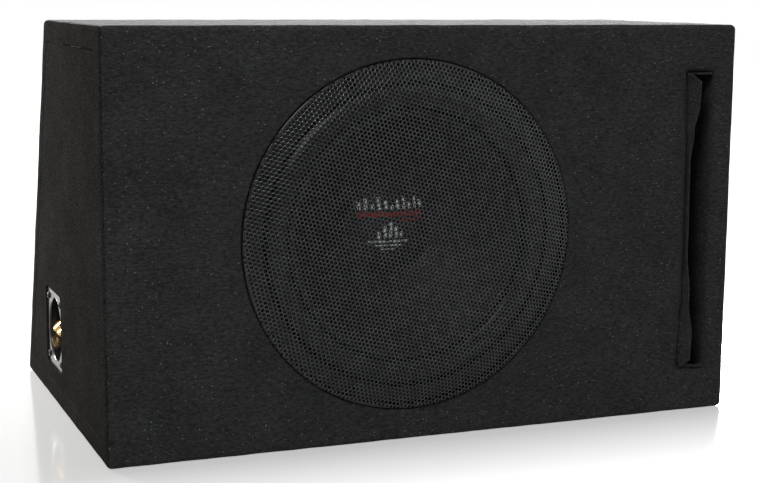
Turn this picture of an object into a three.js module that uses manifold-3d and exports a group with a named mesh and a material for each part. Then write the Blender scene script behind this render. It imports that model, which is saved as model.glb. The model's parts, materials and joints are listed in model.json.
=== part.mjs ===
// Ported 12 inch subwoofer enclosure with a plate amplifier, in millimetres.
// +X is to the right seen from the front, the front faces -Y and +Z is up.
// The origin is the middle of the base of the whole object's box.
import * as THREE from 'three';
import { mergeVertices } from 'three/addons/utils/BufferGeometryUtils.js';
import Module from 'manifold-3d';

const wasm = await Module();
wasm.setup();

// Enclosure
const width = 606;
const height = 370;
const bottomDepth = 392;
const topDepth = 251;
const board = 18;
const carpet = 3;
const gap = 0.3;
const flangeWidth = 20.5;

// Port, a tall slot at the right-hand end of the front
const slotWidth = 30;
const slotLow = 43;
const slotHighMargin = 42;
const slotLining = 2;
const liningDepth = 25;
const outerLiningDepth = 60;
const portWallBoard = 16;
const ductGap = 40;

// Driver and its grille
const driverX = -28.5;
const grilleRadius = 155.5;
const grilleProud = 12;
const grilleSlopeWidth = 29.5;
const grilleEdgeRise = 1.5;
const meshThickness = 1;
const rebateDepth = 8;
const frameWall = 3.3;
const flangeThickness = 3;
const rollInset = 16.5;
const rollHalfWidth = 12;
const rollHeight = 8.3;
const skin = 1;
const gasketThickness = 2.1;
const coilRadius = 25;
const coilWire = 1.4;
const coneDepth = 64;
const dustCapRadius = 42;
const dustCapRise = 13.5;
const shelfRadius = 71;
const shelfBack = 86;
const basketDepth = 94.7;
const magnetRadius = 65;
const magnetThickness = 22;
const plateThickness = 8;
const yokeRadius = 60;
const driverScrews = 8;
const basketWindows = 8;

// Terminal cup on the left-hand side
const cupFromFront = 239;
const cupHeight = 72.5;
const cupFlange = 75;
const cupFlangeThickness = 2;
const cupSunk = 2;
const cupCorner = 6;
const dishRadius = 30.5;
const dishDepth = 27;
const cupWall = 2;
const postSpacing = 20;
const postLean = Math.PI / 4;
const postRadius = 6;
const studRadius = 2.2;
const cupScrewInset = 8.5;

// Plate amplifier, sunk in the sloping back
const ampX = -80;
const ampWidth = 300;
const ampHeight = 140;
const ampPlate = 3;
const ampRebate = 9;
const ampLip = 15;
const ampCoverDepth = 45;
const ampCoverWall = 1.5;
const finCount = 11;
const finPitch = 13.5;
const finThickness = 2.5;
const faceClearance = 1.2;
const knobRadius = 8;
const knobPitch = 40;
const shaftRadius = 3;
const switchTravel = 4;
const wireHoles = 3;
const wireHolePitch = 14;

// Places that follow from the sizes above
const halfWidth = width / 2;
const frontY = grilleProud - (bottomDepth + grilleProud) / 2;
const slope = (bottomDepth - topDepth) / height;
const lean = Math.atan(slope);
const woodFrontY = frontY + carpet;
const woodHalf = halfWidth - carpet;
const innerHalf = woodHalf - board;
const woodLow = carpet;
const woodHigh = height - carpet;
const innerLow = woodLow + board;
const innerHigh = woodHigh - board;
const baffleBackY = woodFrontY + board;
const driverZ = height / 2;
const slotHigh = height - slotHighMargin;
const slotRight = innerHalf - slotLining;
const slotLeft = slotRight - slotWidth;
const slotWoodLeft = slotLeft - slotLining;
const portWallLeft = slotWoodLeft - portWallBoard;

// Materials
const surface = (color, roughness, metalness = 0) =>
  new THREE.MeshStandardMaterial({ color, roughness, metalness });
const wood = surface(0xb08d62, 0.8);
const felt = surface(0x2a2a2b, 0.95);
const blackMetal = surface(0x1c1c1d, 0.5, 0.6);
const steel = surface(0xb6b8ba, 0.35, 1);
const ferrite = surface(0x2b2b2d, 0.7);
const rubber = surface(0x18181a, 0.6);
const pulp = surface(0x1b1b1c, 0.8);
const cloth = surface(0xa8803a, 0.9);
const kapton = surface(0x8a5a1c, 0.4);
const copper = surface(0xb5633a, 0.35, 1);
const glossPlastic = surface(0x141416, 0.15);
const mattePlastic = surface(0x202022, 0.6);
const gold = surface(0xd8a545, 0.25, 1);
const anodised = surface(0x232325, 0.45, 0.8);
const laminate = surface(0x1f5a33, 0.6);
const fuseBlue = surface(0x2b5fb4, 0.3);
const ledLens = surface(0x3c6be0, 0.2);
const redSleeve = surface(0xa01818, 0.5);

// Geometry helpers. Each takes and gives closed geometry.
function signedVolume(points, corners) {
  const [a, b, c] = [new THREE.Vector3(), new THREE.Vector3(), new THREE.Vector3()];
  let sum = 0;
  for (let i = 0; i < corners.length; i += 3) {
    a.fromArray(points, 3 * corners[i]);
    b.fromArray(points, 3 * corners[i + 1]);
    c.fromArray(points, 3 * corners[i + 2]);
    sum += a.dot(b.cross(c));
  }
  return sum;
}

function toSolid(geometry) {
  const bare = geometry.clone();
  bare.deleteAttribute('normal');
  bare.deleteAttribute('uv');
  const merged = mergeVertices(bare);
  const points = merged.getAttribute('position').array;
  const index = merged.index.array;
  const corners = [];
  for (let i = 0; i < index.length; i += 3) {
    const [a, b, c] = index.slice(i, i + 3);
    if (a !== b && b !== c && c !== a) {
      corners.push(a, b, c);
    }
  }
  if (signedVolume(points, corners) < 0) {
    corners.reverse();
  }
  return new wasm.Manifold(new wasm.Mesh({
    numProp: 3,
    vertProperties: Float32Array.from(points),
    triVerts: Uint32Array.from(corners),
  }));
}

function toGeometry(solid) {
  const { vertProperties, triVerts } = solid.getMesh();
  const geometry = new THREE.BufferGeometry();
  geometry.setAttribute('position', new THREE.BufferAttribute(vertProperties, 3));
  geometry.setIndex(new THREE.BufferAttribute(triVerts, 1));
  geometry.computeVertexNormals();
  return geometry;
}

function cut(base, ...tools) {
  return toGeometry(tools.reduce((solid, tool) => solid.subtract(toSolid(tool)), toSolid(base)));
}

function join(base, ...others) {
  return toGeometry(others.reduce((solid, other) => solid.add(toSolid(other)), toSolid(base)));
}

function common(base, other) {
  return toGeometry(toSolid(base).intersect(toSolid(other)));
}

function block([lowX, lowY, lowZ], [highX, highY, highZ]) {
  const geometry = new THREE.BoxGeometry(highX - lowX, highY - lowY, highZ - lowZ);
  return geometry.translate((lowX + highX) / 2, (lowY + highY) / 2, (lowZ + highZ) / 2);
}

function rod(radius, lowZ, highZ, x = 0, y = 0, sides = 24) {
  const geometry = new THREE.CylinderGeometry(radius, radius, highZ - lowZ, sides);
  return geometry.rotateX(Math.PI / 2).translate(x, y, (lowZ + highZ) / 2);
}

// A closed outline of [radius, height] points, turned about the Z axis.
function turned(outline, sides = 48) {
  const points = [...outline, outline[0]].map(([radius, z]) => new THREE.Vector2(radius, z));
  return new THREE.LatheGeometry(points, sides).rotateX(Math.PI / 2);
}

// A [y, z] outline, run along X.
function prismX(outline, lowX, highX) {
  const shape = new THREE.Shape(outline.map(([y, z]) => new THREE.Vector2(y, z)));
  const geometry = new THREE.ExtrudeGeometry(shape, { depth: highX - lowX, bevelEnabled: false });
  const turn = new THREE.Matrix4().makeBasis(
    new THREE.Vector3(0, 1, 0), new THREE.Vector3(0, 0, 1), new THREE.Vector3(1, 0, 0));
  return geometry.applyMatrix4(turn).translate(lowX, 0, 0);
}

function roundedPlate(sizeX, sizeY, radius, lowZ, highZ) {
  const [x, y] = [sizeX / 2, sizeY / 2];
  const shape = new THREE.Shape();
  shape.absarc(x - radius, y - radius, radius, 0, Math.PI / 2);
  shape.absarc(radius - x, y - radius, radius, Math.PI / 2, Math.PI);
  shape.absarc(radius - x, radius - y, radius, Math.PI, 1.5 * Math.PI);
  shape.absarc(x - radius, radius - y, radius, 1.5 * Math.PI, 2 * Math.PI);
  const options = { depth: highZ - lowZ, bevelEnabled: false, curveSegments: 5 };
  return new THREE.ExtrudeGeometry(shape, options).translate(0, 0, lowZ);
}

function tube(route, radius, steps, quarters = 4) {
  const path = new THREE.CatmullRomCurve3(route.map((point) => new THREE.Vector3(...point)));
  const section = new THREE.Shape();
  section.absarc(0, 0, radius, 0, 2 * Math.PI);
  const options = { extrudePath: path, steps, curveSegments: quarters, bevelEnabled: false };
  return new THREE.ExtrudeGeometry(section, options);
}

function ringOf(count, radius, startAngle, make) {
  const turn = (2 * Math.PI) / count;
  return Array.from({ length: count }, (unused, i) => {
    const angle = startAngle + i * turn;
    return make(radius * Math.cos(angle), radius * Math.sin(angle), angle, i);
  });
}

function cornersOf(x, y, make) {
  return [[-x, y], [x, y], [-x, -y], [x, -y]].map(([px, py], i) => make(px, py, i));
}

// A group whose local axes are given in its parent's frame.
function frameAt(position, xAxis, yAxis) {
  const [x, y] = [new THREE.Vector3(...xAxis), new THREE.Vector3(...yAxis)];
  const group = new THREE.Group();
  group.position.set(...position);
  group.setRotationFromMatrix(new THREE.Matrix4().makeBasis(x, y, x.clone().cross(y)));
  return group;
}

function add(parent, name, geometry, material) {
  const mesh = new THREE.Mesh(toGeometry(toSolid(geometry)), material);
  mesh.name = name;
  parent.add(mesh);
}

const subwoofer = new THREE.Group();

// Y of the sloping back at a height, a depth in from its outer surface.
const backY = (z, depth = 0) => frontY + bottomDepth - slope * z - depth / Math.cos(lean);

// Side outline of the enclosure, drawn in by an inset all round.
function sideOutline(inset, backInset = inset) {
  const [low, high, front] = [inset, height - inset, frontY + inset];
  return [[front, low], [backY(low, backInset), low], [backY(high, backInset), high], [front, high]];
}

// Frames of the driver, the cup and the amplifier. Each one's local Z points out of the box.
const driver = frameAt([driverX, woodFrontY, driverZ], [1, 0, 0], [0, 0, 1]);
const cup = frameAt([-halfWidth, frontY + cupFromFront, cupHeight], [0, -1, 0], [0, 0, 1]);
const ampZ = height / 2 + 5;
const upSlope = [0, -Math.sin(lean), Math.cos(lean)];
const amp = frameAt([ampX, backY(ampZ), ampZ], [-1, 0, 0], upSlope);
subwoofer.add(driver, cup, amp);
subwoofer.updateMatrixWorld(true);

const inFrame = (group, geometry) => geometry.applyMatrix4(group.matrixWorld);

// Driver sizes shared by the baffle, the basket and the grille
const rebateRadius = grilleRadius + 0.5;
const basketFlangeRadius = grilleRadius - 4;
const driverScrewRadius = basketFlangeRadius - 5.5;
const cutoutRadius = basketFlangeRadius - 13;
const screwAngle = Math.PI / driverScrews;
const pilotDepth = board - 1.5;

// Amplifier depths, measured from the carpet's surface
const ampFloor = -carpet - ampRebate;
const ampPlateLow = ampFloor + gap;
const ampFace = ampPlateLow + ampPlate;
const ampTop = -faceClearance;

// Cup depths, measured from the carpet's surface
const cupFace = -cupSunk;
const cupFlangeBack = cupFace - cupFlangeThickness;
const cupRebate = cupFlangeBack - gap;
const dishFloor = cupFace - dishDepth;
const cupBodyRadius = dishRadius + cupWall;
const cupScrewPlace = cupFlange / 2 - cupScrewInset;
const cupClearance = 0.5;

// Boards
function frontBaffle() {
  const sheet = block([-innerHalf + gap, woodFrontY, innerLow + gap],
    [innerHalf - gap, baffleBackY, innerHigh - gap]);
  const slot = block([slotWoodLeft, woodFrontY - 1, slotLow - slotLining],
    [innerHalf + 1, baffleBackY + 1, slotHigh + slotLining]);
  const rebate = rod(rebateRadius, -rebateDepth, 1, 0, 0, 48);
  const cutout = rod(cutoutRadius, -board - 1, 1, 0, 0, 48);
  const pilots = ringOf(driverScrews, driverScrewRadius, screwAngle,
    (x, y) => rod(2.3, -pilotDepth, 1, x, y, 8));
  return cut(sheet, slot, ...[rebate, cutout, ...pilots].map((tool) => inFrame(driver, tool)));
}

function sidePanel(sign) {
  const edges = [sign * woodHalf, sign * innerHalf].sort((a, b) => a - b);
  return prismX(sideOutline(carpet), ...edges);
}

function leftSidePanel() {
  const size = cupFlange + 2 * cupClearance;
  const seat = roundedPlate(size, size, cupCorner, cupRebate, 0);
  const hole = rod(cupBodyRadius + 1, -carpet - board - 1, 0, 0, 0, 40);
  const pilots = cornersOf(cupScrewPlace, cupScrewPlace,
    (x, y) => rod(1.9, -carpet - board + 2, 0, x, y, 8));
  return cut(sidePanel(-1), ...[seat, hole, ...pilots].map((tool) => inFrame(cup, tool)));
}

function levelBoard(low, high) {
  const outline = [[woodFrontY, low], [backY(low, carpet), low], [backY(high, carpet), high],
    [woodFrontY, high]];
  return prismX(outline, -innerHalf + gap, innerHalf - gap);
}

function backPanel() {
  const [low, high] = [innerLow + gap, innerHigh - gap];
  const inner = carpet + board;
  const outline = [[backY(low, inner), low], [backY(low, carpet), low],
    [backY(high, carpet), high], [backY(high, inner), high]];
  const sheet = prismX(outline, -innerHalf + gap, innerHalf - gap);
  const seat = block([-ampWidth / 2 - 1, -ampHeight / 2 - 1, ampFloor],
    [ampWidth / 2 + 1, ampHeight / 2 + 1, 0]);
  const hole = block([ampLip - ampWidth / 2, ampLip - ampHeight / 2, -inner - 1],
    [ampWidth / 2 - ampLip, ampHeight / 2 - ampLip, 0]);
  return cut(sheet, inFrame(amp, seat), inFrame(amp, hole));
}

function portWall() {
  const [low, high] = [innerLow + gap, innerHigh - gap];
  const end = (z) => backY(z, carpet + board) - ductGap / Math.cos(lean);
  const front = baffleBackY + gap;
  return prismX([[front, low], [end(low), low], [end(high), high], [front, high]],
    portWallLeft, slotWoodLeft);
}

add(subwoofer, 'front_baffle', frontBaffle(), wood);
add(subwoofer, 'back_panel', backPanel(), wood);
add(subwoofer, 'left_side_panel', leftSidePanel(), wood);
add(subwoofer, 'right_side_panel', sidePanel(1), wood);
add(subwoofer, 'top_panel', levelBoard(innerHigh, woodHigh), wood);
add(subwoofer, 'bottom_panel', levelBoard(woodLow, innerLow), wood);
add(subwoofer, 'port_wall', portWall(), wood);

// Carpet: one sheet wraps front, top and back, with edges turned onto the sides
function carpetWrap() {
  const outer = prismX(sideOutline(0), -halfWidth, halfWidth);
  const inner = prismX(sideOutline(carpet - gap), -woodHalf - gap, woodHalf + gap);
  const windows = prismX(sideOutline(flangeWidth), -halfWidth - 1, halfWidth + 1);
  const base = block([-halfWidth - 1, frontY - 1, -1],
    [halfWidth + 1, frontY + bottomDepth + 1, carpet]);
  const lining = cut(
    block([slotWoodLeft + gap, frontY, slotLow - slotLining + gap],
      [innerHalf - gap, woodFrontY + liningDepth, slotHigh + slotLining - gap]),
    block([slotLeft, frontY - 1, slotLow], [slotRight, woodFrontY + liningDepth + 1, slotHigh]));
  const outerLining = block([slotRight, frontY, slotLow],
    [innerHalf - gap, woodFrontY + outerLiningDepth, slotHigh]);
  const slot = block([slotLeft, frontY - 1, slotLow], [slotRight, woodFrontY + 1, slotHigh]);
  const grilleHole = inFrame(driver, rod(grilleRadius + 1, -1, carpet + 1, 0, 0, 48));
  const ampHole = inFrame(amp, roundedPlate(ampWidth + 2, ampHeight + 2, 3, -carpet - 1, 1));
  const shell = cut(outer, inner, windows, base, grilleHole, ampHole, slot);
  return join(shell, lining, outerLining);
}

function sideCarpet(sign) {
  const faces = [sign * halfWidth, sign * (woodHalf + gap)].sort((a, b) => a - b);
  return prismX(sideOutline(flangeWidth + gap), ...faces);
}

function carpetBottom() {
  const top = carpet - gap;
  const outline = [[frontY, 0], [backY(0), 0], [backY(top), top], [frontY, top]];
  return prismX(outline, -halfWidth, halfWidth);
}

const cupOpening = cupFlange + 2 * cupClearance;
const cupCarpetHole = inFrame(cup, roundedPlate(cupOpening, cupOpening, cupCorner, -carpet - 1, 1));
add(subwoofer, 'carpet_wrap', carpetWrap(), felt);
add(subwoofer, 'carpet_bottom', carpetBottom(), felt);
add(subwoofer, 'carpet_left_side', cut(sideCarpet(-1), cupCarpetHole), felt);
add(subwoofer, 'carpet_right_side', sideCarpet(1), felt);

// Grille. Heights in the driver's frame start at the baffle's front face.
const grilleFront = grilleProud + carpet;
const grilleEdge = carpet + grilleEdgeRise;
const grilleFlatRadius = grilleRadius - grilleSlopeWidth;
add(driver, 'grille_mesh', turned([
  [0, grilleFront], [0, grilleFront - meshThickness],
  [grilleFlatRadius, grilleFront - meshThickness],
  [grilleRadius, grilleEdge - meshThickness],
  [grilleRadius, grilleEdge], [grilleFlatRadius, grilleFront],
], 60), blackMetal);
add(driver, 'grille_frame', turned([
  [grilleRadius - frameWall, gap - rebateDepth],
  [grilleRadius, gap - rebateDepth],
  [grilleRadius, grilleEdge - meshThickness - gap],
  [grilleRadius - frameWall, grilleEdge - meshThickness - gap],
], 60), blackMetal);

// Driver
const flangeLow = gap - rebateDepth;
const flangeTop = flangeLow + flangeThickness;
const surroundLow = flangeTop + gap;
const rollOut = basketFlangeRadius - rollInset;
const rollRadius = rollOut - rollHalfWidth;
const rollIn = rollRadius - rollHalfWidth;
const lipWidth = 5;
const coneTop = surroundLow - gap;
const coneNeck = coneTop - coneDepth;
const neckRadius = coilRadius + skin;
const throatRadius = coilRadius + 31;
const shelfTop = -shelfBack + flangeThickness;
const throatTop = -basketDepth + 2.8;

function basket() {
  const body = turned([
    [basketFlangeRadius, flangeTop], [basketFlangeRadius, flangeLow],
    [cutoutRadius - 2, flangeLow], [cutoutRadius - 6, -22], [shelfRadius + 12, -74.5],
    [shelfRadius + 3, -shelfBack], [throatRadius + 3, -shelfBack], [throatRadius + 3, -basketDepth],
    [coilRadius + 7, -basketDepth], [coilRadius + 7, throatTop], [throatRadius, throatTop],
    [throatRadius, shelfTop], [shelfRadius, shelfTop], [shelfRadius + 9, -72],
    [cutoutRadius - 9, -20.5], [cutoutRadius - 4.5, flangeTop],
  ], 40);
  const windowHalf = 22;
  const windows = ringOf(basketWindows, 1, -Math.PI / 2, (x, y, angle) =>
    block([shelfRadius + 4, -windowHalf, -100], [cutoutRadius - 12, windowHalf, -12]).rotateZ(angle));
  const holes = ringOf(driverScrews, driverScrewRadius, screwAngle,
    (x, y) => rod(2.6, -30, 1, x, y, 8));
  return cut(body, ...windows, ...holes);
}

function gasket() {
  const low = surroundLow + skin + gap;
  const ring = turned([
    [rollOut + 1, low], [basketFlangeRadius - 0.2, low],
    [basketFlangeRadius - 0.2, low + gasketThickness], [rollOut + 2, low + gasketThickness],
  ], 40);
  const holes = ringOf(driverScrews, driverScrewRadius, screwAngle,
    (x, y) => rod(4.6, low - 1, low + gasketThickness + 1, x, y, 8));
  return cut(ring, ...holes);
}

// Half-roll between flat lips, with the same arc above and below.
function surroundRing() {
  const arcSteps = 6;
  const roll = (rise) => Array.from({ length: arcSteps + 1 }, (unused, i) => {
    const angle = Math.PI - (Math.PI * i) / arcSteps;
    return [rollRadius + rollHalfWidth * Math.cos(angle), rise + rollHeight * Math.sin(angle)];
  });
  const top = [[rollIn - lipWidth, surroundLow + skin], ...roll(surroundLow + skin),
    [rollOut + lipWidth, surroundLow + skin]];
  const under = [[rollIn - lipWidth, surroundLow], ...roll(surroundLow),
    [rollOut + lipWidth, surroundLow]];
  return turned([...top, ...under.reverse()], 40);
}

function coneShell() {
  const wall = 1.2;
  return turned([
    [neckRadius, coneNeck], [rollIn - lipWidth, coneTop], [rollIn + 0.5, coneTop],
    [rollIn + 0.5, coneTop - wall], [rollIn - lipWidth + 0.5, coneTop - wall],
    [neckRadius, coneNeck - wall - 0.5],
  ], 40);
}

function dustCap() {
  const steps = 4;
  const seat = coneTop - coneDepth * (rollIn - lipWidth - dustCapRadius)
    / (rollIn - lipWidth - neckRadius) + gap;
  const dome = (rise) => Array.from({ length: steps + 1 }, (unused, i) => {
    const share = i / steps;
    return [dustCapRadius * share, seat + rise + dustCapRise * (1 - share * share)];
  });
  return turned([...dome(skin), ...dome(0).reverse()], 36);
}

function spiderDisc() {
  const ridges = 7;
  const ridgeHeight = 2;
  const inner = coilRadius + 1.3;
  const start = inner + 3;
  const end = throatRadius - 2;
  const low = shelfTop + gap;
  const line = (rise) => {
    const corrugated = Array.from({ length: ridges }, (unused, i) => {
      const radius = start + ((end - start) * (i + 0.5)) / ridges;
      return [radius, rise + (i % 2 ? ridgeHeight : -ridgeHeight)];
    });
    return [[inner, rise], [start, rise], ...corrugated, [end, rise], [shelfRadius - 1.5, rise]];
  };
  return turned([...line(low + skin), ...line(low).reverse()], 32);
}

const coilLow = -115;
const gapTop = -basketDepth - gap;
const gapLow = gapTop - plateThickness;
const magnetLow = gapLow - gap - magnetThickness;

add(driver, 'driver_basket', basket(), blackMetal);
add(driver, 'gasket_ring', gasket(), rubber);
add(driver, 'surround', surroundRing(), rubber);
add(driver, 'cone', coneShell(), pulp);
add(driver, 'dust_cap', dustCap(), pulp);
add(driver, 'spider', spiderDisc(), cloth);
add(driver, 'voice_coil_former', turned([
  [coilRadius, coilLow], [coilRadius + 0.6, coilLow],
  [coilRadius + 0.6, coneNeck + 3], [coilRadius, coneNeck + 3],
], 32), kapton);
add(driver, 'voice_coil_winding', turned([
  [coilRadius + 0.9, coilLow], [coilRadius + 0.9 + coilWire, coilLow],
  [coilRadius + 0.9 + coilWire, coilLow + 18], [coilRadius + 0.9, coilLow + 18],
], 32), copper);
add(driver, 'top_plate', turned([
  [coilRadius + 4, gapLow], [yokeRadius, gapLow], [yokeRadius, gapTop], [coilRadius + 4, gapTop],
], 36), steel);
add(driver, 'magnet', turned([
  [coilRadius + 9, magnetLow], [magnetRadius, magnetLow],
  [magnetRadius, gapLow - gap], [coilRadius + 9, gapLow - gap],
], 36), ferrite);
add(driver, 'pole_piece', turned([
  [8, gapTop], [8, magnetLow - gap - 10], [yokeRadius, magnetLow - gap - 10],
  [yokeRadius, magnetLow - gap], [coilRadius - 1.3, magnetLow - gap], [coilRadius - 1.3, gapTop],
], 36), steel);

const terminalLow = -shelfBack - gap - 9;
add(driver, 'driver_terminal_block', block(
  [-13, -shelfRadius - 13, terminalLow], [13, -throatRadius - 8, -shelfBack - gap]), mattePlastic);
for (const [name, side] of [['tinsel_lead_positive', 1], ['tinsel_lead_negative', -1]]) {
  const lead = tube([
    [8 * side, -neckRadius - 9, coneNeck + 4], [8 * side, -neckRadius - 16, coneNeck - 2],
    [8 * side, -shelfRadius + 8, coneNeck - 5], [8 * side, -shelfRadius - 7, coneNeck - 6],
    [8 * side, -shelfRadius - 8.5, -shelfBack + 1],
  ], 0.8, 14, 3);
  add(driver, name, lead, copper);
}
ringOf(driverScrews, driverScrewRadius, screwAngle, (x, y, angle, i) => {
  const screw = join(rod(4, surroundLow, surroundLow + 2.6, x, y, 8),
    rod(2, 0.5 - pilotDepth, surroundLow + 1, x, y, 8));
  add(driver, `driver_screw_${i + 1}`, screw, blackMetal);
});

// Terminal cup
const bossHalf = 19;
const bossBase = [-20.5, -0.5];
const postPlace = [-10.5, dishFloor + 10];
const alongPost = (geometry, x) => geometry.rotateX(-postLean).translate(x, ...postPlace);

function terminalCup() {
  const flange = roundedPlate(cupFlange, cupFlange, cupCorner, cupFlangeBack, cupFace);
  const body = rod(cupBodyRadius, dishFloor - cupWall, cupFace, 0, 0, 40);
  const dish = rod(dishRadius, dishFloor, 1, 0, 0, 40);
  const bossRise = bossBase[1] - bossBase[0];
  const boss = prismX([[bossBase[0], dishFloor - 1], [bossBase[1], dishFloor - 1],
    [bossBase[1], dishFloor], [bossBase[0], dishFloor + bossRise]], -bossHalf, bossHalf);
  const screwHoles = cornersOf(cupScrewPlace, cupScrewPlace,
    (x, y) => rod(1.9, cupFlangeBack - 1, 1, x, y, 8));
  const studHoles = [-1, 1].map((side) =>
    alongPost(rod(studRadius + gap, -40, 10, 0, 0, 12), side * postSpacing / 2));
  return cut(join(cut(join(flange, body), dish), boss), ...screwHoles, ...studHoles);
}

const postFlange = 3;
const collarLow = gap + postFlange + gap;
const collarThickness = 3;
const capLow = collarLow + collarThickness + gap;
const capHigh = 19;
const studHigh = 15;

add(cup, 'terminal_cup', terminalCup(), glossPlastic);
for (const [colour, side] of [['red', 1], ['black', -1]]) {
  const post = new THREE.Group();
  post.position.set(side * postSpacing / 2, ...postPlace);
  post.rotation.x = -postLean;
  cup.add(post);
  const stud = join(rod(studRadius, -24, studHigh, 0, 0, 12), rod(postRadius, gap, gap + postFlange));
  const bore = studRadius + gap;
  add(post, `post_stud_${colour}`, stud, gold);
  add(post, `post_collar_${colour}`, cut(rod(postRadius - 0.4, collarLow, collarLow + collarThickness),
    rod(bore, 0, capLow, 0, 0, 12)), gold);
  add(post, `post_cap_${colour}`, cut(rod(postRadius, capLow, capHigh),
    rod(bore, 0, capHigh - 2, 0, 0, 12)), gold);
}
cornersOf(cupScrewPlace, cupScrewPlace, (x, y, i) => {
  const screw = join(rod(3.2, cupFace + gap, cupFace + 1.8, x, y, 12),
    rod(1.6, -carpet - board + 3, cupFace + 1, x, y, 8));
  add(cup, `cup_screw_${i + 1}`, screw, blackMetal);
});

// Plate amplifier
const knobRow = 42;
const middleRow = 5;
const lowRow = -40;
const knobPlaces = {
  gain_knob: [35, knobRow],
  crossover_knob: [35 + knobPitch, knobRow],
  bass_boost_knob: [35 + 2 * knobPitch, knobRow],
};
const rcaPlaces = { rca_socket_left: [95, middleRow], rca_socket_right: [118, middleRow] };
const switchPlace = [35, middleRow];
const ledPlace = [62, middleRow];
const fusePlace = [42, lowRow];
const fuseBody = [19, 5];
const bladeOffset = 6.5;
const terminalPlace = [128, lowRow];
const terminalSize = [22, wireHoles * wireHolePitch + 6];
const wireHole = [7, 5.6];
const boardTop = ampPlateLow - 12;

function heatsinkPlate() {
  const plate = block([-ampWidth / 2, -ampHeight / 2, ampPlateLow],
    [ampWidth / 2, ampHeight / 2, ampFace]);
  const finLength = ampHeight / 2 - 12;
  const fins = Array.from({ length: finCount }, (unused, i) => {
    const x = 12 - ampWidth / 2 + i * finPitch;
    return block([x, -finLength, ampPlateLow + 1], [x + finThickness, finLength, ampTop]);
  });
  const through = (radius, [x, y]) => rod(radius, ampPlateLow - 1, ampFace + 1, x, y, 16);
  const slotAt = (x, y, halfX, halfY) => block([x - halfX, y - halfY, ampPlateLow - 1],
    [x + halfX, y + halfY, ampFace + 1]);
  const shafts = Object.values(knobPlaces).map((place) => through(shaftRadius + 0.5, place));
  const sockets = Object.values(rcaPlaces).map((place) => through(4.6, place));
  const blades = [-1, 1].map((side) =>
    slotAt(fusePlace[0] + side * bladeOffset, fusePlace[1], 2.9, 0.8));
  const switchSlot = slotAt(switchPlace[0] + switchTravel / 2, switchPlace[1],
    2.2 + switchTravel / 2 + gap, 2 + gap);
  return cut(join(plate, ...fins), ...shafts, ...sockets, ...blades, switchSlot,
    through(2.8, ledPlace));
}

function innerCover() {
  const [x, y] = [ampWidth / 2 - ampLip - 3, ampHeight / 2 - ampLip - 3];
  const top = ampPlateLow - gap;
  const wall = ampCoverWall;
  return cut(block([-x, -y, top - ampCoverDepth], [x, y, top]),
    block([wall - x, wall - y, top - ampCoverDepth + wall], [x - wall, y - wall, top + 1]));
}

function circuitBoard() {
  const sheet = block([-120, -44, boardTop - 1.6], [130, 44, boardTop]);
  const pots = Object.values(knobPlaces).map(([x, y]) =>
    block([x - 7, Math.min(y - 7, 30), boardTop - 1], [x + 7, 44, boardTop + 6]));
  const capacitors = [-90, -60].map((x) => rod(12, boardTop - 27, boardTop - 1, x, -20, 20));
  const coil = turned([
    [7, boardTop - 16], [20, boardTop - 16], [20, boardTop - 1], [7, boardTop - 1],
  ], 24).translate(-10, -10, 0);
  return join(sheet, ...pots, ...capacitors, coil);
}

function terminalBlock() {
  const [x, y] = terminalPlace;
  const [halfX, halfY] = [terminalSize[0] / 2, terminalSize[1] / 2];
  const low = ampFace + gap;
  const holes = Array.from({ length: wireHoles }, (unused, i) => {
    const middle = y + (i - (wireHoles - 1) / 2) * wireHolePitch;
    return block([x - halfX - 1, middle - wireHole[0] / 2, low + 0.8],
      [x + halfX - 8, middle + wireHole[0] / 2, low + 0.8 + wireHole[1]]);
  });
  return cut(block([x - halfX, y - halfY, low], [x + halfX, y + halfY, ampTop]), ...holes);
}

function knob([x, y]) {
  return join(rod(knobRadius, ampFace + gap, ampTop, x, y, 32),
    rod(shaftRadius, boardTop + 6 + gap, ampFace + 1, x, y, 16));
}

function rcaSocket([x, y]) {
  return turned([
    [1.7, ampTop], [1.7, ampPlateLow - 4], [0, ampPlateLow - 4], [0, ampPlateLow - 6],
    [4.2, ampPlateLow - 6], [4.2, ampFace + gap], [6, ampFace + gap], [6, ampFace + 1.8],
    [4.2, ampFace + 1.8], [4.2, ampTop],
  ], 16).translate(x, y, 0);
}

function bladeFuse() {
  const [x, y] = fusePlace;
  const [halfX, halfY] = [fuseBody[0] / 2, fuseBody[1] / 2];
  const blades = [-1, 1].map((side) => block(
    [x + side * bladeOffset - 2.5, y - 0.4, ampPlateLow - 6],
    [x + side * bladeOffset + 2.5, y + 0.4, ampFace + 1]));
  return join(block([x - halfX, y - halfY, ampFace + gap], [x + halfX, y + halfY, ampTop]), ...blades);
}

function phaseSwitch() {
  const [x, y] = switchPlace;
  return block([x - 2.2, y - 2, ampPlateLow - 4], [x + 2.2, y + 2, ampFace + 3.5]);
}

function powerLed() {
  const radius = 2.5;
  const lens = new THREE.SphereGeometry(radius, 16, 8).translate(...ledPlace, ampFace);
  return join(rod(radius, ampPlateLow - 4, ampFace, ...ledPlace, 16), lens);
}

add(amp, 'amp_plate', heatsinkPlate(), anodised);
add(amp, 'amp_cover', innerCover(), mattePlastic);
add(amp, 'amp_circuit_board', circuitBoard(), laminate);
add(amp, 'power_terminal_block', terminalBlock(), mattePlastic);
for (const [name, place] of Object.entries(rcaPlaces)) {
  add(amp, name, rcaSocket(place), gold);
}
for (const [name, place] of Object.entries(knobPlaces)) {
  add(amp, name, knob(place), mattePlastic);
}
add(amp, 'phase_switch', phaseSwitch(), mattePlastic);
add(amp, 'fuse', bladeFuse(), fuseBlue);
add(amp, 'power_led', powerLed(), ledLens);

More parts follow.
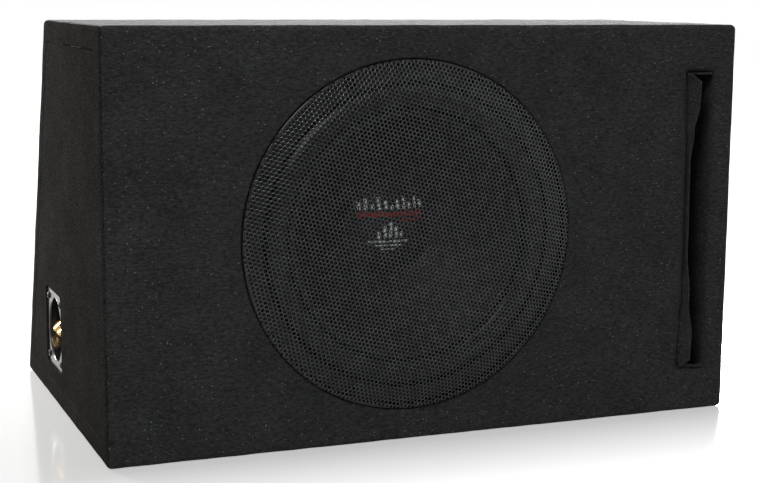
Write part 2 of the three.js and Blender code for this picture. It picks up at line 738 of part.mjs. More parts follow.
// Internal leads, from the cup and the driver to the amplifier's cover
const coverLow = ampPlateLow - gap - ampCoverDepth;
const leadRadius = 2.2;
const ampPoint = (x, y, z) => new THREE.Vector3(x, y, z).applyMatrix4(amp.matrixWorld).toArray();
const leadEnd = (x, y) => [ampPoint(x, y, coverLow - 30), ampPoint(x, y, coverLow - 15),
  ampPoint(x, y, coverLow - 4 * gap)];
const cupY = frontY + cupFromFront;
const cupBackX = cupWall - halfWidth - dishFloor;
add(subwoofer, 'cup_lead', tube([
  [cupBackX + 4, cupY, cupHeight + 4], [cupBackX + 14, cupY, cupHeight + 8],
  [cupBackX + 24, cupY - 4, cupHeight + 50], ...leadEnd(90, 10),
], leadRadius, 20), redSleeve);
const terminalY = woodFrontY - terminalLow;
const terminalZ = driverZ - shelfRadius - 3;
add(subwoofer, 'driver_lead', tube([
  [driverX, terminalY + 2 * gap, terminalZ], [driverX, terminalY + 14, terminalZ],
  [driverX - 4, terminalY + 60, terminalZ - 6], ...leadEnd(-20, -10),
], leadRadius, 20), redSleeve);

export default subwoofer;
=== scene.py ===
"""Looks of the carpeted subwoofer box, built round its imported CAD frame. Metres, +Z up, front towards -Y."""
import json
import math
import random

import bmesh
import bpy
from mathutils import Matrix, Vector, noise
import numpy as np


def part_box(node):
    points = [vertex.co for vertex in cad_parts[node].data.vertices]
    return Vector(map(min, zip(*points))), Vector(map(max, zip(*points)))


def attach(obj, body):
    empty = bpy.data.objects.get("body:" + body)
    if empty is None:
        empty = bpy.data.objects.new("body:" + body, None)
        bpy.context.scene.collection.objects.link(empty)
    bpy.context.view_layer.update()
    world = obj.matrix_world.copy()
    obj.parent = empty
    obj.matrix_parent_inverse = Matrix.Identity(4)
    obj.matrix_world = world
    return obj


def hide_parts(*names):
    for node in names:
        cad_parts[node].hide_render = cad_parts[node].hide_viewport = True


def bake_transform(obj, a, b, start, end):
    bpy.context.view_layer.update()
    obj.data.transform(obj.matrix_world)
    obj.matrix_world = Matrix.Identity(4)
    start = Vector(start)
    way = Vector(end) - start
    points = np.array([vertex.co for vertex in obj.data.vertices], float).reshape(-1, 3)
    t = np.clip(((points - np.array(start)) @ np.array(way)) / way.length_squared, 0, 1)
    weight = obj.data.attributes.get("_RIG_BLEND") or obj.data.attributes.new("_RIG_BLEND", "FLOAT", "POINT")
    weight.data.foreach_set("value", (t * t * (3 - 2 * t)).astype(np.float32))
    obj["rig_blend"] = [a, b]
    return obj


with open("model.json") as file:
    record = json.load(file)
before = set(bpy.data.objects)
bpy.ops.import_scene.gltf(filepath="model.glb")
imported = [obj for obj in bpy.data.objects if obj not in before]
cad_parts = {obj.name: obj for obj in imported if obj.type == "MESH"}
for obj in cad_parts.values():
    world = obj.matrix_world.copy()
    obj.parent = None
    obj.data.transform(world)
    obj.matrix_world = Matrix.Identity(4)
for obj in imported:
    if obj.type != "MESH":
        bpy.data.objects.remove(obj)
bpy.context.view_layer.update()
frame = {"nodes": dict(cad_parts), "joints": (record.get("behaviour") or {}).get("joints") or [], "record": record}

MM = 0.001
CABINET = "cabinet"
CAMERA_PLACE = (-0.570, -1.4655, 0.3985)
CAMERA_YAW, CAMERA_PITCH, CAMERA_ROLL = 21.855, 8.955, -0.405
CAMERA_LENS, SENSOR_WIDTH = 75.15, 36
# The world's light comes mostly from one side: its direction, the dot products with it where the change
# starts and ends, and the strength at each
BRIGHT_SIDE, BRIGHT_RANGE = (0.5, 0.68, 0.53), (-0.5, 0.75)
FRONT_LIGHT, BACK_LIGHT = 0.2, 1.15
# Name, place, aim, size, power and colour of each lamp
LAMPS = [
    ("back_softbox", (1.3, 2.7, 0.95), (0.1, 0, 0.4), (2.2, 0.7), 220, (1, 1, 1)),
    ("key_softbox", (-1.15, -1.4, 1.75), (0, -0.2, 0.2), (0.9, 0.7), 21, (1, 1, 1)),
    ("rear_edge_light", (-0.62, 0.62, 0.42), (-0.303, 0.1, 0.25), (0.2, 0.5), 10, (1, 0.96, 0.9)),
]
FLOOR_HALF, FLOOR_GREY, FLOOR_ROUGHNESS, FLOOR_LIGHT = 6.0, 0.2, 0.12, 0.3
# Where along Y the floor's glow changes, in front of the object, and its strength on each side
GLOW_RANGE, GLOW_FRONT, GLOW_BACK = (-0.34, -0.2), 0.95, 0.45


# ---------------------------------------------------------------- camera, lights, floor
def linked(name, data):
    """A new object in the scene that shows the data."""
    made = bpy.data.objects.new(name, data)
    bpy.context.scene.collection.objects.link(made)
    return made


def make_camera():
    yaw, pitch, roll = (math.radians(angle) for angle in (CAMERA_YAW, CAMERA_PITCH, CAMERA_ROLL))
    ahead = Vector((math.sin(yaw) * math.cos(pitch), math.cos(yaw) * math.cos(pitch), -math.sin(pitch)))
    level = Vector((math.cos(yaw), -math.sin(yaw), 0))
    below = ahead.cross(level)
    right = math.cos(roll) * level + math.sin(roll) * below
    up = math.sin(roll) * level - math.cos(roll) * below
    data = bpy.data.cameras.new("camera")
    data.lens = CAMERA_LENS
    data.sensor_width = SENSOR_WIDTH
    camera = linked("camera", data)
    turn = Matrix((right, up, -ahead)).transposed().to_4x4()
    camera.matrix_world = Matrix.Translation(CAMERA_PLACE) @ turn
    bpy.context.scene.camera = camera


def area_light(name, place, target, size, energy, colour):
    data = bpy.data.lights.new(name, "AREA")
    data.shape = "RECTANGLE"
    data.size, data.size_y = size
    data.energy = energy
    data.color = colour
    lamp = linked(name, data)
    lamp.location = place
    lamp.rotation_euler = (Vector(target) - Vector(place)).to_track_quat("-Z", "Y").to_euler()


def light_world(tree):
    """White all round to look at; as a light, bright behind the object and dimmer in front of it."""
    background = tree.nodes["Background"]
    background.inputs["Color"].default_value = (1, 1, 1, 1)
    direction = tree.nodes.new("ShaderNodeTexCoord").outputs["Generated"]
    towards = tree.nodes.new("ShaderNodeVectorMath")
    towards.operation = "DOT_PRODUCT"
    towards.inputs[1].default_value = BRIGHT_SIDE
    tree.links.new(direction, towards.inputs[0])
    cast = map_range(tree, towards.outputs["Value"], *BRIGHT_RANGE, FRONT_LIGHT, BACK_LIGHT)
    tree.links.new(looks_or_lights(tree, 1.0, cast), background.inputs["Strength"])


def map_range(tree, value, start, end, low, high):
    """A value carried from the range start..end to low..high."""
    node = tree.nodes.new("ShaderNodeMapRange")
    for socket, number in (("From Min", start), ("From Max", end), ("To Min", low), ("To Max", high)):
        node.inputs[socket].default_value = number
    tree.links.new(value, node.inputs["Value"])
    return node.outputs["Result"]


def looks_or_lights(tree, seen, cast):
    """A strength for rays straight from the camera and another for all other rays. Each may be a socket."""
    mix = tree.nodes.new("ShaderNodeMix")
    tree.links.new(tree.nodes.new("ShaderNodeLightPath").outputs["Is Camera Ray"], mix.inputs[0])
    for socket, value in ((mix.inputs[2], cast), (mix.inputs[3], seen)):
        if isinstance(value, float):
            socket.default_value = value
        else:
            tree.links.new(value, socket)
    return mix.outputs[0]


def floor_material():
    """White glossy table that glows more in front of the object than behind."""
    floor = Shader("floor_white", FLOOR_ROUGHNESS, Base_Color=(FLOOR_GREY,) * 3 + (1,),
                   Emission_Color=(1, 1, 1, 1))
    place = floor.node("ShaderNodeNewGeometry").outputs["Position"]
    along = floor.node("ShaderNodeSeparateXYZ", {"Vector": place}).outputs["Y"]
    glow = floor.span(along, GLOW_FRONT, GLOW_BACK, *GLOW_RANGE)
    floor.set("Emission Strength", looks_or_lights(floor.tree, glow, FLOOR_LIGHT))
    return floor.material


def make_studio():
    scene = bpy.context.scene
    scene.view_settings.view_transform = "Standard"
    scene.world = bpy.data.worlds.new("studio")
    scene.world.use_nodes = True
    light_world(scene.world.node_tree)
    for lamp in LAMPS:
        area_light(*lamp)
    far = FLOOR_HALF
    mesh = bpy.data.meshes.new("floor")
    mesh.from_pydata([(-far, -far, 0), (far, -far, 0), (far, far, 0), (-far, far, 0)], [], [(0, 1, 2, 3)])
    floor = linked("floor", mesh)
    floor.data.materials.append(floor_material())


# ---------------------------------------------------------------- materials
class Shader:
    """A Principled material and short calls for the nodes that feed it."""

    def __init__(self, name, roughness=0.5, metallic=0.0, **inputs):
        self.material = bpy.data.materials.new(name)
        self.material.use_nodes = True
        self.tree = self.material.node_tree
        self.principled = self.tree.nodes["Principled BSDF"]
        self.set("Roughness", roughness)
        self.set("Metallic", metallic)
        for key, value in inputs.items():
            self.set(key.replace("_", " "), value)
        self.place = self.node("ShaderNodeTexCoord").outputs["Object"]

    def node(self, kind, links=(), **settings):
        made = self.tree.nodes.new(kind)
        for key, value in settings.items():
            setattr(made, key, value)
        for socket, value in dict(links).items():
            self.feed(made.inputs[socket], value)
        return made

    def feed(self, socket, value):
        if isinstance(value, bpy.types.NodeSocket):
            self.tree.links.new(value, socket)
        else:
            socket.default_value = value

    def set(self, name, value):
        self.feed(self.principled.inputs[name], value)

    def stretched(self, scale):
        return self.node("ShaderNodeMapping", {"Vector": self.place, "Scale": scale}).outputs["Vector"]

    def noise(self, scale, detail=3.0, roughness=0.5, vector=None):
        made = self.node("ShaderNodeTexNoise", {
            "Vector": vector or self.place, "Scale": scale, "Detail": detail, "Roughness": roughness})
        return made.outputs["Fac"]

    def ramp(self, value, stops):
        made = self.node("ShaderNodeValToRGB", {"Fac": value})
        elements = made.color_ramp.elements
        while len(elements) < len(stops):
            elements.new(0.5)
        for element, (position, colour) in zip(elements, stops):
            element.position = position
            element.color = (*colour, 1)
        return made.outputs["Color"]

    def span(self, value, low, high, start=0.3, end=0.7):
        return map_range(self.tree, value, start, end, low, high)

    def mix(self, factor, first, second, blend="MIX"):
        made = self.node("ShaderNodeMix", {}, data_type="RGBA", blend_type=blend)
        self.feed(made.inputs[0], factor)
        self.feed(made.inputs[6], first)
        self.feed(made.inputs[7], second)
        return made.outputs[2]

    def math(self, operation, first, second):
        made = self.node("ShaderNodeMath", {}, operation=operation)
        self.feed(made.inputs[0], first)
        self.feed(made.inputs[1], second)
        return made.outputs[0]

    def bump(self, height, distance, strength=1.0):
        made = self.node("ShaderNodeBump", {"Height": height, "Distance": distance, "Strength": strength})
        self.set("Normal", made.outputs["Normal"])


def felt_material(name, dark, light, sheen, specular):
    """Short needle-felt: tangled fibres, faint streaks along the roll, sparse pale fibre ends."""
    felt = Shader(name, roughness=0.96, Sheen_Weight=sheen, Sheen_Roughness=0.15,
                  Sheen_Tint=(0.85, 0.84, 0.82, 1), Specular_IOR_Level=specular)
    tangle = felt.noise(800, 4, 0.8)
    streak = felt.noise(380, 3, 0.7, felt.stretched((0.55, 1.0, 1.4)))
    cloud = felt.noise(22, 3, 0.55)
    mixed = felt.math("ADD", felt.math("MULTIPLY", tangle, 0.5), felt.math("MULTIPLY", streak, 0.5))
    base = felt.ramp(mixed, [(0.40, dark), (0.62, light)])
    shade = felt.span(cloud, 0.85, 1.15)
    base = felt.mix(1.0, base, felt.node("ShaderNodeCombineColor", {
        "Red": shade, "Green": shade, "Blue": shade}).outputs["Color"], "MULTIPLY")
    cells = felt.node("ShaderNodeTexVoronoi", {"Vector": felt.stretched((0.6, 1.0, 1.3)), "Scale": 560})
    near = felt.span(cells.outputs["Distance"], 1.0, 0.0, 0.10, 0.26)
    chosen = felt.node("ShaderNodeSeparateColor", {"Color": cells.outputs["Color"]}).outputs["Red"]
    rare = felt.math("POWER", felt.span(chosen, 0.0, 1.0, 0.72, 1.0), 3)
    fleck = felt.math("MULTIPLY", near, rare)
    felt.set("Base Color", felt.mix(fleck, base, (0.34, 0.34, 0.33, 1)))
    felt.bump(mixed, 1.0 * MM, 0.9)
    return felt.material


def grain_material(name, dark, light, roughness, metallic=0.0, scale=300, depth=0.05, spread=0.08):
    """A moulded, painted or cast surface with fine grain and slight unevenness in colour and gloss."""
    made = Shader(name, roughness, metallic)
    fine = made.noise(scale, 4, 0.6)
    broad = made.noise(scale / 12, 3, 0.5)
    made.set("Base Color", made.ramp(broad, [(0.35, dark), (0.65, light)]))
    made.set("Roughness", made.span(fine, roughness - spread, roughness + spread))
    made.bump(fine, depth * MM, 0.6)
    return made.material


def wood_material():
    """Sawn fibreboard: short pale fibres in a brown base, turning black towards the port as painted shade for the
    dark inside of the slot.
    """
    board = Shader("fibreboard", 0.85)
    fibre = board.noise(260, 5, 0.7, board.stretched((1.0, 0.4, 1.0)))
    brown = board.ramp(fibre, [(0.3, (0.30, 0.19, 0.10)), (0.7, (0.46, 0.32, 0.19))])
    across = board.node("ShaderNodeSeparateXYZ", {"Vector": board.place}).outputs["X"]
    # painted shade: boards on the port side go black, standing in for the dark inside of the slot
    port_shade = board.span(across, 0.0, 1.0, PORT_SIDE - 5 * MM, PORT_SIDE)
    board.set("Base Color", board.mix(port_shade, brown, (0.009, 0.009, 0.009, 1)))
    board.bump(fibre, 0.1 * MM, 0.5)
    return board.material


def gold_material():
    gold = Shader("gold_plate", 0.2, 1.0)
    wear = gold.noise(500, 3, 0.6)
    gold.set("Base Color", gold.ramp(wear, [(0.3, (0.80, 0.50, 0.14)), (0.7, (0.98, 0.72, 0.28))]))
    gold.set("Roughness", gold.span(wear, 0.14, 0.28))
    gold.bump(wear, 0.01 * MM, 0.4)
    return gold.material


def brushed_material(name, dark, light, roughness, stretch):
    """Metal with fine lines along one direction."""
    made = Shader(name, roughness, 1.0)
    lines = made.noise(300, 4, 0.6, made.stretched(stretch))
    made.set("Base Color", made.ramp(lines, [(0.3, dark), (0.7, light)]))
    made.set("Roughness", made.span(lines, roughness - 0.08, roughness + 0.1))
    made.bump(lines, 0.02 * MM, 0.5)
    return made.material


def make_materials():
    """A material for every material slot, and more for the end felt (the front felt made darker as painted shade),
    loose fibres, prints and rings.
    """
    grain = grain_material
    return {
        "carpet": felt_material("felt_carpet", (0.010, 0.0105, 0.011), (0.040, 0.041, 0.042), 0.12, 0.15),
        # painted shade: the ends' felt is the front felt made darker, with no sheen or shine, for the dimmer light
        # on the sides
        "carpet_end_shaded": felt_material("felt_end_shaded", (0.007, 0.0068, 0.0064), (0.032, 0.0312, 0.0298), 0.0, 0.0),
        "wood": wood_material(),
        "grille_paint": grain("grille_powder_coat", (0.06, 0.062, 0.064), (0.095, 0.098, 0.101), 0.22, 0.9,
                              1500, 0.03),
        "basket_paint": grain("black_paint", (0.012, 0.012, 0.013), (0.022, 0.022, 0.024), 0.42, 0.2,
                              700, 0.03),
        "steel": brushed_material("zinc_steel", (0.42, 0.43, 0.45), (0.66, 0.67, 0.68), 0.32, (1, 6, 6)),
        "ferrite": grain("ferrite", (0.02, 0.02, 0.022), (0.045, 0.045, 0.05), 0.75, 0.0, 400, 0.1),
        "rubber": grain("surround_rubber", (0.006, 0.0065, 0.008), (0.011, 0.012, 0.014), 0.34, 0.0,
                        900, 0.03),
        "cone_paper": grain("coated_pulp", (0.010, 0.010, 0.011), (0.020, 0.020, 0.021), 0.6, 0.0, 500, 0.15),
        "spider_cloth": grain("spider_cloth", (0.34, 0.2, 0.06), (0.5, 0.33, 0.12), 0.85, 0.0, 1400, 0.2),
        "coil_former": grain("polyimide", (0.3, 0.13, 0.03), (0.45, 0.22, 0.05), 0.35, 0.0, 400, 0.01),
        "copper": brushed_material("copper_wire", (0.5, 0.2, 0.09), (0.75, 0.36, 0.18), 0.3, (1, 40, 1)),
        "gloss_plastic": grain("gloss_black", (0.008, 0.008, 0.009), (0.012, 0.012, 0.013), 0.16, 0.0, 250,
                               0.01, 0.04),
        "gold_plate": gold_material(),
        "matte_plastic": grain("matte_black", (0.014, 0.014, 0.015), (0.024, 0.024, 0.026), 0.55, 0.0,
                               1200, 0.06),
        "anodised": grain("black_anodised", (0.02, 0.02, 0.022), (0.035, 0.035, 0.038), 0.38, 0.85,
                          1800, 0.02),
        "circuit_laminate": grain("solder_mask", (0.015, 0.10, 0.04), (0.03, 0.17, 0.07), 0.35, 0.0,
                                  300, 0.02),
        "fuse_plastic": grain("fuse_blue", (0.02, 0.10, 0.50), (0.04, 0.17, 0.70), 0.2, 0.0, 300, 0.01),
        "led_lens": grain("led_lens", (0.15, 0.32, 0.85), (0.25, 0.45, 0.95), 0.12, 0.0, 300, 0.01),
        "lead_insulation": grain("red_vinyl", (0.30, 0.01, 0.01), (0.48, 0.02, 0.02), 0.45, 0.0, 500, 0.03),
        "frayed_felt": grain("frayed_felt", (0.10, 0.10, 0.10), (0.22, 0.22, 0.21), 0.9, 0.0, 900, 0.02),
        "white_print": grain("white_print", (0.78, 0.80, 0.82), (0.92, 0.93, 0.94), 0.5, 0.0, 900, 0.02),
        "red_ring": grain("red_ring", (0.45, 0.03, 0.01), (0.62, 0.06, 0.02), 0.3, 0.0, 900, 0.02),
        "red_print": grain("red_print", (0.25, 0.01, 0.01), (0.42, 0.02, 0.02), 0.5, 0.0, 900, 0.02),
        "black_ring": grain("black_ring", (0.01, 0.01, 0.01), (0.018, 0.018, 0.018), 0.35, 0.0, 900, 0.02),
    }


# ---------------------------------------------------------------- mesh helpers
def piece(name, shape, material, body=CABINET, slot=None, replaces=(), turn=None, sharp=30.0):
    """A mesh of (verts, faces) in the row frame, or in a local frame when turn is given, riding on a body."""
    verts, faces = shape
    mesh = bpy.data.meshes.new(name)
    mesh.from_pydata([tuple(v) for v in verts], [], faces)
    if turn is not None:
        mesh.transform(turn)
    work = bmesh.new()
    work.from_mesh(mesh)
    bmesh.ops.remove_doubles(work, verts=work.verts, dist=1e-6)
    bmesh.ops.dissolve_degenerate(work, edges=work.edges, dist=1e-7)
    bmesh.ops.recalc_face_normals(work, faces=work.faces)
    work.to_mesh(mesh)
    work.free()
    return finish_piece(name, mesh, material, body, replaces, sharp)


def finish_piece(name, mesh, material, body, replaces, sharp):
    mesh.materials.append(MATERIALS[material])
    mesh.polygons.foreach_set("use_smooth", [True] * len(mesh.polygons))
    mesh.set_sharp_from_angle(angle=math.radians(sharp))
    made = linked(name, mesh)
    if body:
        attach(made, body)
    if replaces:
        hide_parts(*replaces)
    return made


def lathe(profile, sides):
    """Verts and faces of a closed loop of (radius, height) points turned about local Z."""
    verts, faces = [], []
    count = len(profile)
    for i in range(sides):
        angle = 2 * math.pi * i / sides
        verts += [(r * math.cos(angle), r * math.sin(angle), z) for r, z in profile]
        a, b = i * count, (i + 1) % sides * count
        faces += [(a + k, b + k, b + (k + 1) % count, a + (k + 1) % count) for k in range(count)]
    return verts, faces


def placed(shape, x, y):
    """A shape moved along its local X and Y."""
    return [(a + x, b + y, z) for a, b, z in shape[0]], shape[1]


def combine(*parts):
    """Several shapes as one."""
    verts, faces = [], []
    for part_verts, part_faces in parts:
        start = len(verts)
        verts += list(part_verts)
        faces += [tuple(start + i for i in face) for face in part_faces]
    return verts, faces


def fluted(shape, sides, low, high, depth):
    """Sinks every other column of a turned shape between two heights."""
    verts, faces = shape
    count = len(verts) // sides
    shaped = []
    for i, (x, y, z) in enumerate(verts):
        keep = 1 - depth if (i // count) % 2 and low < z < high else 1
        shaped.append((x * keep, y * keep, z))
    return shaped, faces


def rounded_block(low, high, radius, segments=2):
    """Verts and faces of a box with rounded edges."""
    work = bmesh.new()
    bmesh.ops.create_cube(work, size=1)
    size = [b - a for a, b in zip(low, high)]
    middle = [(a + b) / 2 for a, b in zip(low, high)]
    for vert in work.verts:
        vert.co = Vector([m + c * s for m, c, s in zip(middle, vert.co, size)])
    bmesh.ops.bevel(work, geom=work.edges[:], offset=radius, segments=segments, profile=0.5, affect="EDGES")
    work.verts.ensure_lookup_table()
    result = [tuple(v.co) for v in work.verts], [tuple(v.index for v in f.verts) for f in work.faces]
    work.free()
    return result


def arc(centre, radius, start, end, steps):
    """Points of an arc in a plane, angles in degrees."""
    angles = [math.radians(start + (end - start) * i / steps) for i in range(steps + 1)]
    return [(centre[0] + radius * math.cos(a), centre[1] + radius * math.sin(a)) for a in angles]


def local_frame(x_axis, y_axis, origin=(0, 0, 0)):
    x, y = Vector(x_axis), Vector(y_axis)
    return Matrix.Translation(origin) @ Matrix((x, y, x.cross(y))).transposed().to_4x4()


def points_of(node, turn):
    """Corners of a CAD node in a local frame."""
    back = turn.inverted()
    return [back @ v.co for v in frame["nodes"][node].data.vertices]


def span(node, turn):
    """Lowest and highest corner of a CAD node's box in a local frame."""
    points = points_of(node, turn)
    return [Vector([pick(p[k] for p in points) for k in range(3)]) for pick in (min, max)]


def ring_of(node, turn):
    """Inner radius, outer radius, lowest and highest place of a turned CAD node in a local frame."""
    points = points_of(node, turn)
    radii, heights = [p.xy.length for p in points], [p.z for p in points]
    return min(radii), max(radii), min(heights), max(heights)


def stepped(breaks, step):
    """Values from the first break to the last, through every break, about a step apart."""
    values = [breaks[0]]
    for a, b in zip(breaks, breaks[1:]):
        count = max(1, round((b - a) / step))
        values += [a + (b - a) * i / count for i in range(1, count + 1)]
    return values


# ---------------------------------------------------------------- places read from the frame
JOINTS = {joint["name"]: joint for joint in frame["joints"]}
OUTWARD = Vector(JOINTS["gain_turn"]["axis"])
UP_SLOPE = Vector((0, -OUTWARD.z, OUTWARD.y))
grille_low, grille_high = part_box("grille_mesh")
wrap_low, wrap_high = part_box("carpet_wrap")
cup_low, cup_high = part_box("terminal_cup")
BAFFLE_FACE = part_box("front_baffle")[0].y
CARPET = BAFFLE_FACE - wrap_low.y
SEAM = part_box("carpet_left_side")[0].z
# Past this the fibreboard turns black, as painted shade for the inside of the slot
PORT_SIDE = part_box("port_wall")[0].x - 4 * MM
DRIVER_CENTRE = (grille_low + grille_high) / 2
CUP_CENTRE = (cup_low + cup_high) / 2
# Local frames: Z runs out of the front, out of the left side and out of the sloping back
DRIVER = local_frame((1, 0, 0), (0, 0, 1), (DRIVER_CENTRE.x, BAFFLE_FACE, DRIVER_CENTRE.z))
CUP = local_frame((0, -1, 0), (0, 0, 1), (wrap_low.x, CUP_CENTRE.y, CUP_CENTRE.z))
AMP = local_frame((-1, 0, 0), UP_SLOPE)
CUP_CORNER = 6 * MM
# The amplifier plate's outer face, below the phase switch's tip, and where knobs and sockets sit on it
AMP_FACE = span("phase_switch", AMP)[1].z - 3.5 * MM
AMP_SEAT = AMP_FACE + 0.3 * MM
CAP_RIM, CAP_FOOT, CAP_TOP = ring_of("dust_cap", DRIVER)[1:]
CAP_SKIN = 1 * MM
THREAD_DEPTH = 0.25 * MM

MATERIALS = make_materials()
make_camera()
make_studio()


# ---------------------------------------------------------------- carpet wrapped round the box
EDGE = 5 * MM
GRID = 5 * MM
SLOT_ROLL = 7 * MM
# Loose felt on the slot's left: (share of the slot's height, mm that its edge stands into the slot), and
# the same for how much further its tail, deeper in, leans towards the slot and the front
FLAP_EDGE = [(0, 0), (0.06, 0.5), (0.17, 2), (0.26, 4), (0.45, 4), (0.68, 3.5), (0.77, 3), (0.83, 2),
             (0.92, 1), (1, 0)]
FLAP_TAIL = [(0, 0), (0.03, 8), (0.1, 8), (0.24, 3), (0.4, 0), (0.7, 0), (0.8, 3), (0.9, 8), (0.97, 9),
             (1, 0)]
HEIGHT, HALF_WIDTH, FRONT = wrap_high.z, wrap_high.x, wrap_low.y
BACK_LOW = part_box("carpet_bottom")[1].y
BACK_HIGH = BACK_LOW - OUTWARD.z / OUTWARD.y * HEIGHT
CORNERS = [Vector((FRONT, 0)), Vector((FRONT, HEIGHT)), Vector((BACK_HIGH, HEIGHT)), Vector((BACK_LOW, 0))]


def inset_corner(i, inset):
    """A corner of the side outline after every side moves in by an inset."""
    before, here, after = CORNERS[i - 1], CORNERS[i], CORNERS[(i + 1) % 4]
    along_in, along_out = (here - before).normalized(), (after - here).normalized()
    normal_in, normal_out = Vector((along_in.y, -along_in.x)), Vector((along_out.y, -along_out.x))
    bisector = normal_in + normal_out
    return here + bisector * (inset / bisector.dot(normal_in))


def side_path(rows, inset):
    """Points of the side outline at an inset, one for each row."""
    starts, ends, centres, normals = [], [], [], []
    for i in range(4):
        along = (CORNERS[(i + 1) % 4] - CORNERS[i]).normalized()
        normals.append(Vector((-along.y, along.x)))
    radius = max(EDGE - inset, 0)
    for i in range(4):
        centre = inset_corner(i, max(EDGE, inset))
        centres.append(centre)
        starts.append(centre + normals[i] * radius)
        ends.append(centre + normals[i - 1] * radius)
    points = []
    for side, kind, share in rows:
        if kind == "flat":
            points.append(starts[side].lerp(ends[(side + 1) % 4], share))
        else:
            first, last = normals[side], normals[(side + 1) % 4]
            direction = first.lerp(last, share).normalized()
            points.append(centres[(side + 1) % 4] + direction * radius)
    return points


def eased(value, knots):
    """Height at a place along smoothly joined (place, height) knots."""
    value = min(max(value, knots[0][0]), knots[-1][0])
    for (a, low), (b, high) in zip(knots, knots[1:]):
        if value <= b:
            share = (value - a) / (b - a)
            return low + (high - low) * share * share * (3 - 2 * share)
    return knots[-1][1]


def felt_wobble(point):
    """Small unevenness of glued felt."""
    broad, fine = 0.35 * MM, 0.12 * MM
    return broad * noise.noise(point * 45) + fine * noise.noise(point * 260)


def slot_opening():
    """Lowest and highest corner of the slot in the front felt, and the depth of its left and right lining."""
    points = [v.co for v in frame["nodes"]["carpet_wrap"].data.vertices]
    right_of_grille = [p for p in points if grille_high.x + 20 * MM < p.x < HALF_WIDTH - EDGE]
    rim = [p for p in right_of_grille if p.y < FRONT + 0.5 * MM and SEAM < p.z < HEIGHT - SEAM]
    middle_x, middle_z = ((min(p[k] for p in rim) + max(p[k] for p in rim)) / 2 for k in (0, 2))
    low = Vector((max(p.x for p in rim if p.x < middle_x), FRONT, max(p.z for p in rim if p.z < middle_z)))
    high = Vector((min(p.x for p in rim if p.x > middle_x), FRONT, min(p.z for p in rim if p.z > middle_z)))
    deep = [max(p.y for p in right_of_grille if abs(p.x - wall.x) < 0.1 * MM) for wall in (low, high)]
    return low, high, deep


class Sheet:
    """Vertices and faces of a felt sheet that grows ring by ring."""

    def __init__(self):
        self.verts, self.faces = [], []

    def ring(self, before, points):
        """Joins a loop of vertex numbers to new points, one for each."""
        start = len(self.verts)
        self.verts += points
        now = list(range(start, start + len(points)))
        for i in range(len(now)):
            k = (i + 1) % len(now)
            self.faces.append((before[i], before[k], now[k], now[i]))
        return now


def wrap_rows(front_breaks, back_breaks):
    """Rows round the side outline, from the foot of the front over the top and down the back."""
    rows = []
    outer = side_path([(side, "flat", share) for side in range(4) for share in (0, 1)], 0)
    for side in range(4):
        start, end = outer[2 * side], outer[2 * side + 1]
        length = (end - start).length
        marks = {0: front_breaks, 2: back_breaks}.get(side, [])
        along = (end - start) / length
        breaks = sorted([0, length] + [(Vector(mark) - start).dot(along) for mark in marks])
        rows += [(side, "flat", value / length) for value in stepped(breaks, GRID)]
        rows += [(side, "arc", share) for share in (0.2, 0.4, 0.6, 0.8)]
    return rows


def wrap_columns(breaks):
    """(x, inset) of each column: up the turned edge, round the corner, along the width and down again."""
    lip = [(HALF_WIDTH - 2.7 * MM, SEAM - 0.2 * MM), (HALF_WIDTH - 1.0 * MM, SEAM - 0.4 * MM),
           (HALF_WIDTH - 0.2 * MM, SEAM - 0.9 * MM)]
    turned = [(HALF_WIDTH, inset) for inset in reversed(stepped([EDGE, SEAM - 1.5 * MM], GRID))]
    corner = []
    for step in range(1, 5):
        angle = math.radians(18 * step)
        corner.append((HALF_WIDTH - EDGE * (1 - math.cos(angle)), EDGE * (1 - math.sin(angle))))
    side = lip + turned + corner
    middle = [(x, 0) for x in stepped(sorted(breaks + [EDGE - HALF_WIDTH, HALF_WIDTH - EDGE]), GRID)]
    return [(-x, inset) for x, inset in side] + middle + side[::-1]


def fill_circle(sheet, loop, centre, radius):
    """Felt from a square loop in to the grille's hole, where its cut edge rounds over."""
    around = []
    for index in loop:
        offset = sheet.verts[index] - centre
        around.append(Vector((offset.x, 0, offset.z)).normalized())
    outer = [sheet.verts[index].copy() for index in loop]
    rounding = 1.2 * MM
    steps = 12
    edge = [centre + d * (radius + rounding) for d in around]
    for step in range(1, steps + 1):
        loop = sheet.ring(loop, [p.lerp(q, step / steps) for p, q in zip(outer, edge)])
    for turn in (30, 60, 90):
        reach = radius + rounding * (1 - math.sin(math.radians(turn)))
        sink = rounding * (1 - math.cos(math.radians(turn)))
        loop = sheet.ring(loop, [centre + d * reach + Vector((0, sink, 0)) for d in around])
    cut = radius - 0.65 * MM
    for sink in (CARPET * 0.8, CARPET + 4 * MM):
        loop = sheet.ring(loop, [centre + d * cut + Vector((0, sink, 0)) for d in around])


def fill_slot(sheet, loop, low, high, deep):
    """Felt rolled over the slot's edge and glued a little way in, loose and bulging on the left."""
    outer = [sheet.verts[index].copy() for index in loop]
    inner = [Vector((min(max(p.x, low.x), high.x), FRONT, min(max(p.z, low.z), high.z))) for p in outer]

    def settled(p, q, share, depth, tail=0):
        spot = p.lerp(q, share)
        spot.y = FRONT + depth
        up = (q.z - low.z) / (high.z - low.z)
        if q.x - low.x < 0.1 * MM:
            lean = eased(up, FLAP_TAIL) * MM * tail
            spot.x += eased(up, FLAP_EDGE) * MM * share ** 2 + lean
            spot.y -= 0.7 * lean
        elif q.z - low.z < 0.1 * MM:
            spot.z += 1.2 * MM * share * math.sin((q.x - low.x) / (high.x - low.x) * 2.2 * math.pi)
        return spot

    for step in range(1, 7):
        angle = math.radians(15 * step)
        loop = sheet.ring(loop, [settled(p, q, math.sin(angle), SLOT_ROLL * (1 - math.cos(angle)))
                                 for p, q in zip(outer, inner)])
    for step in range(1, 7):
        points = []
        for p, q in zip(outer, inner):
            end = deep[1] if high.x - q.x < 0.1 * MM else deep[0]
            points.append(settled(p, q, 1, SLOT_ROLL + (end - FRONT - SLOT_ROLL) * step / 6, step / 6))
        loop = sheet.ring(loop, points)


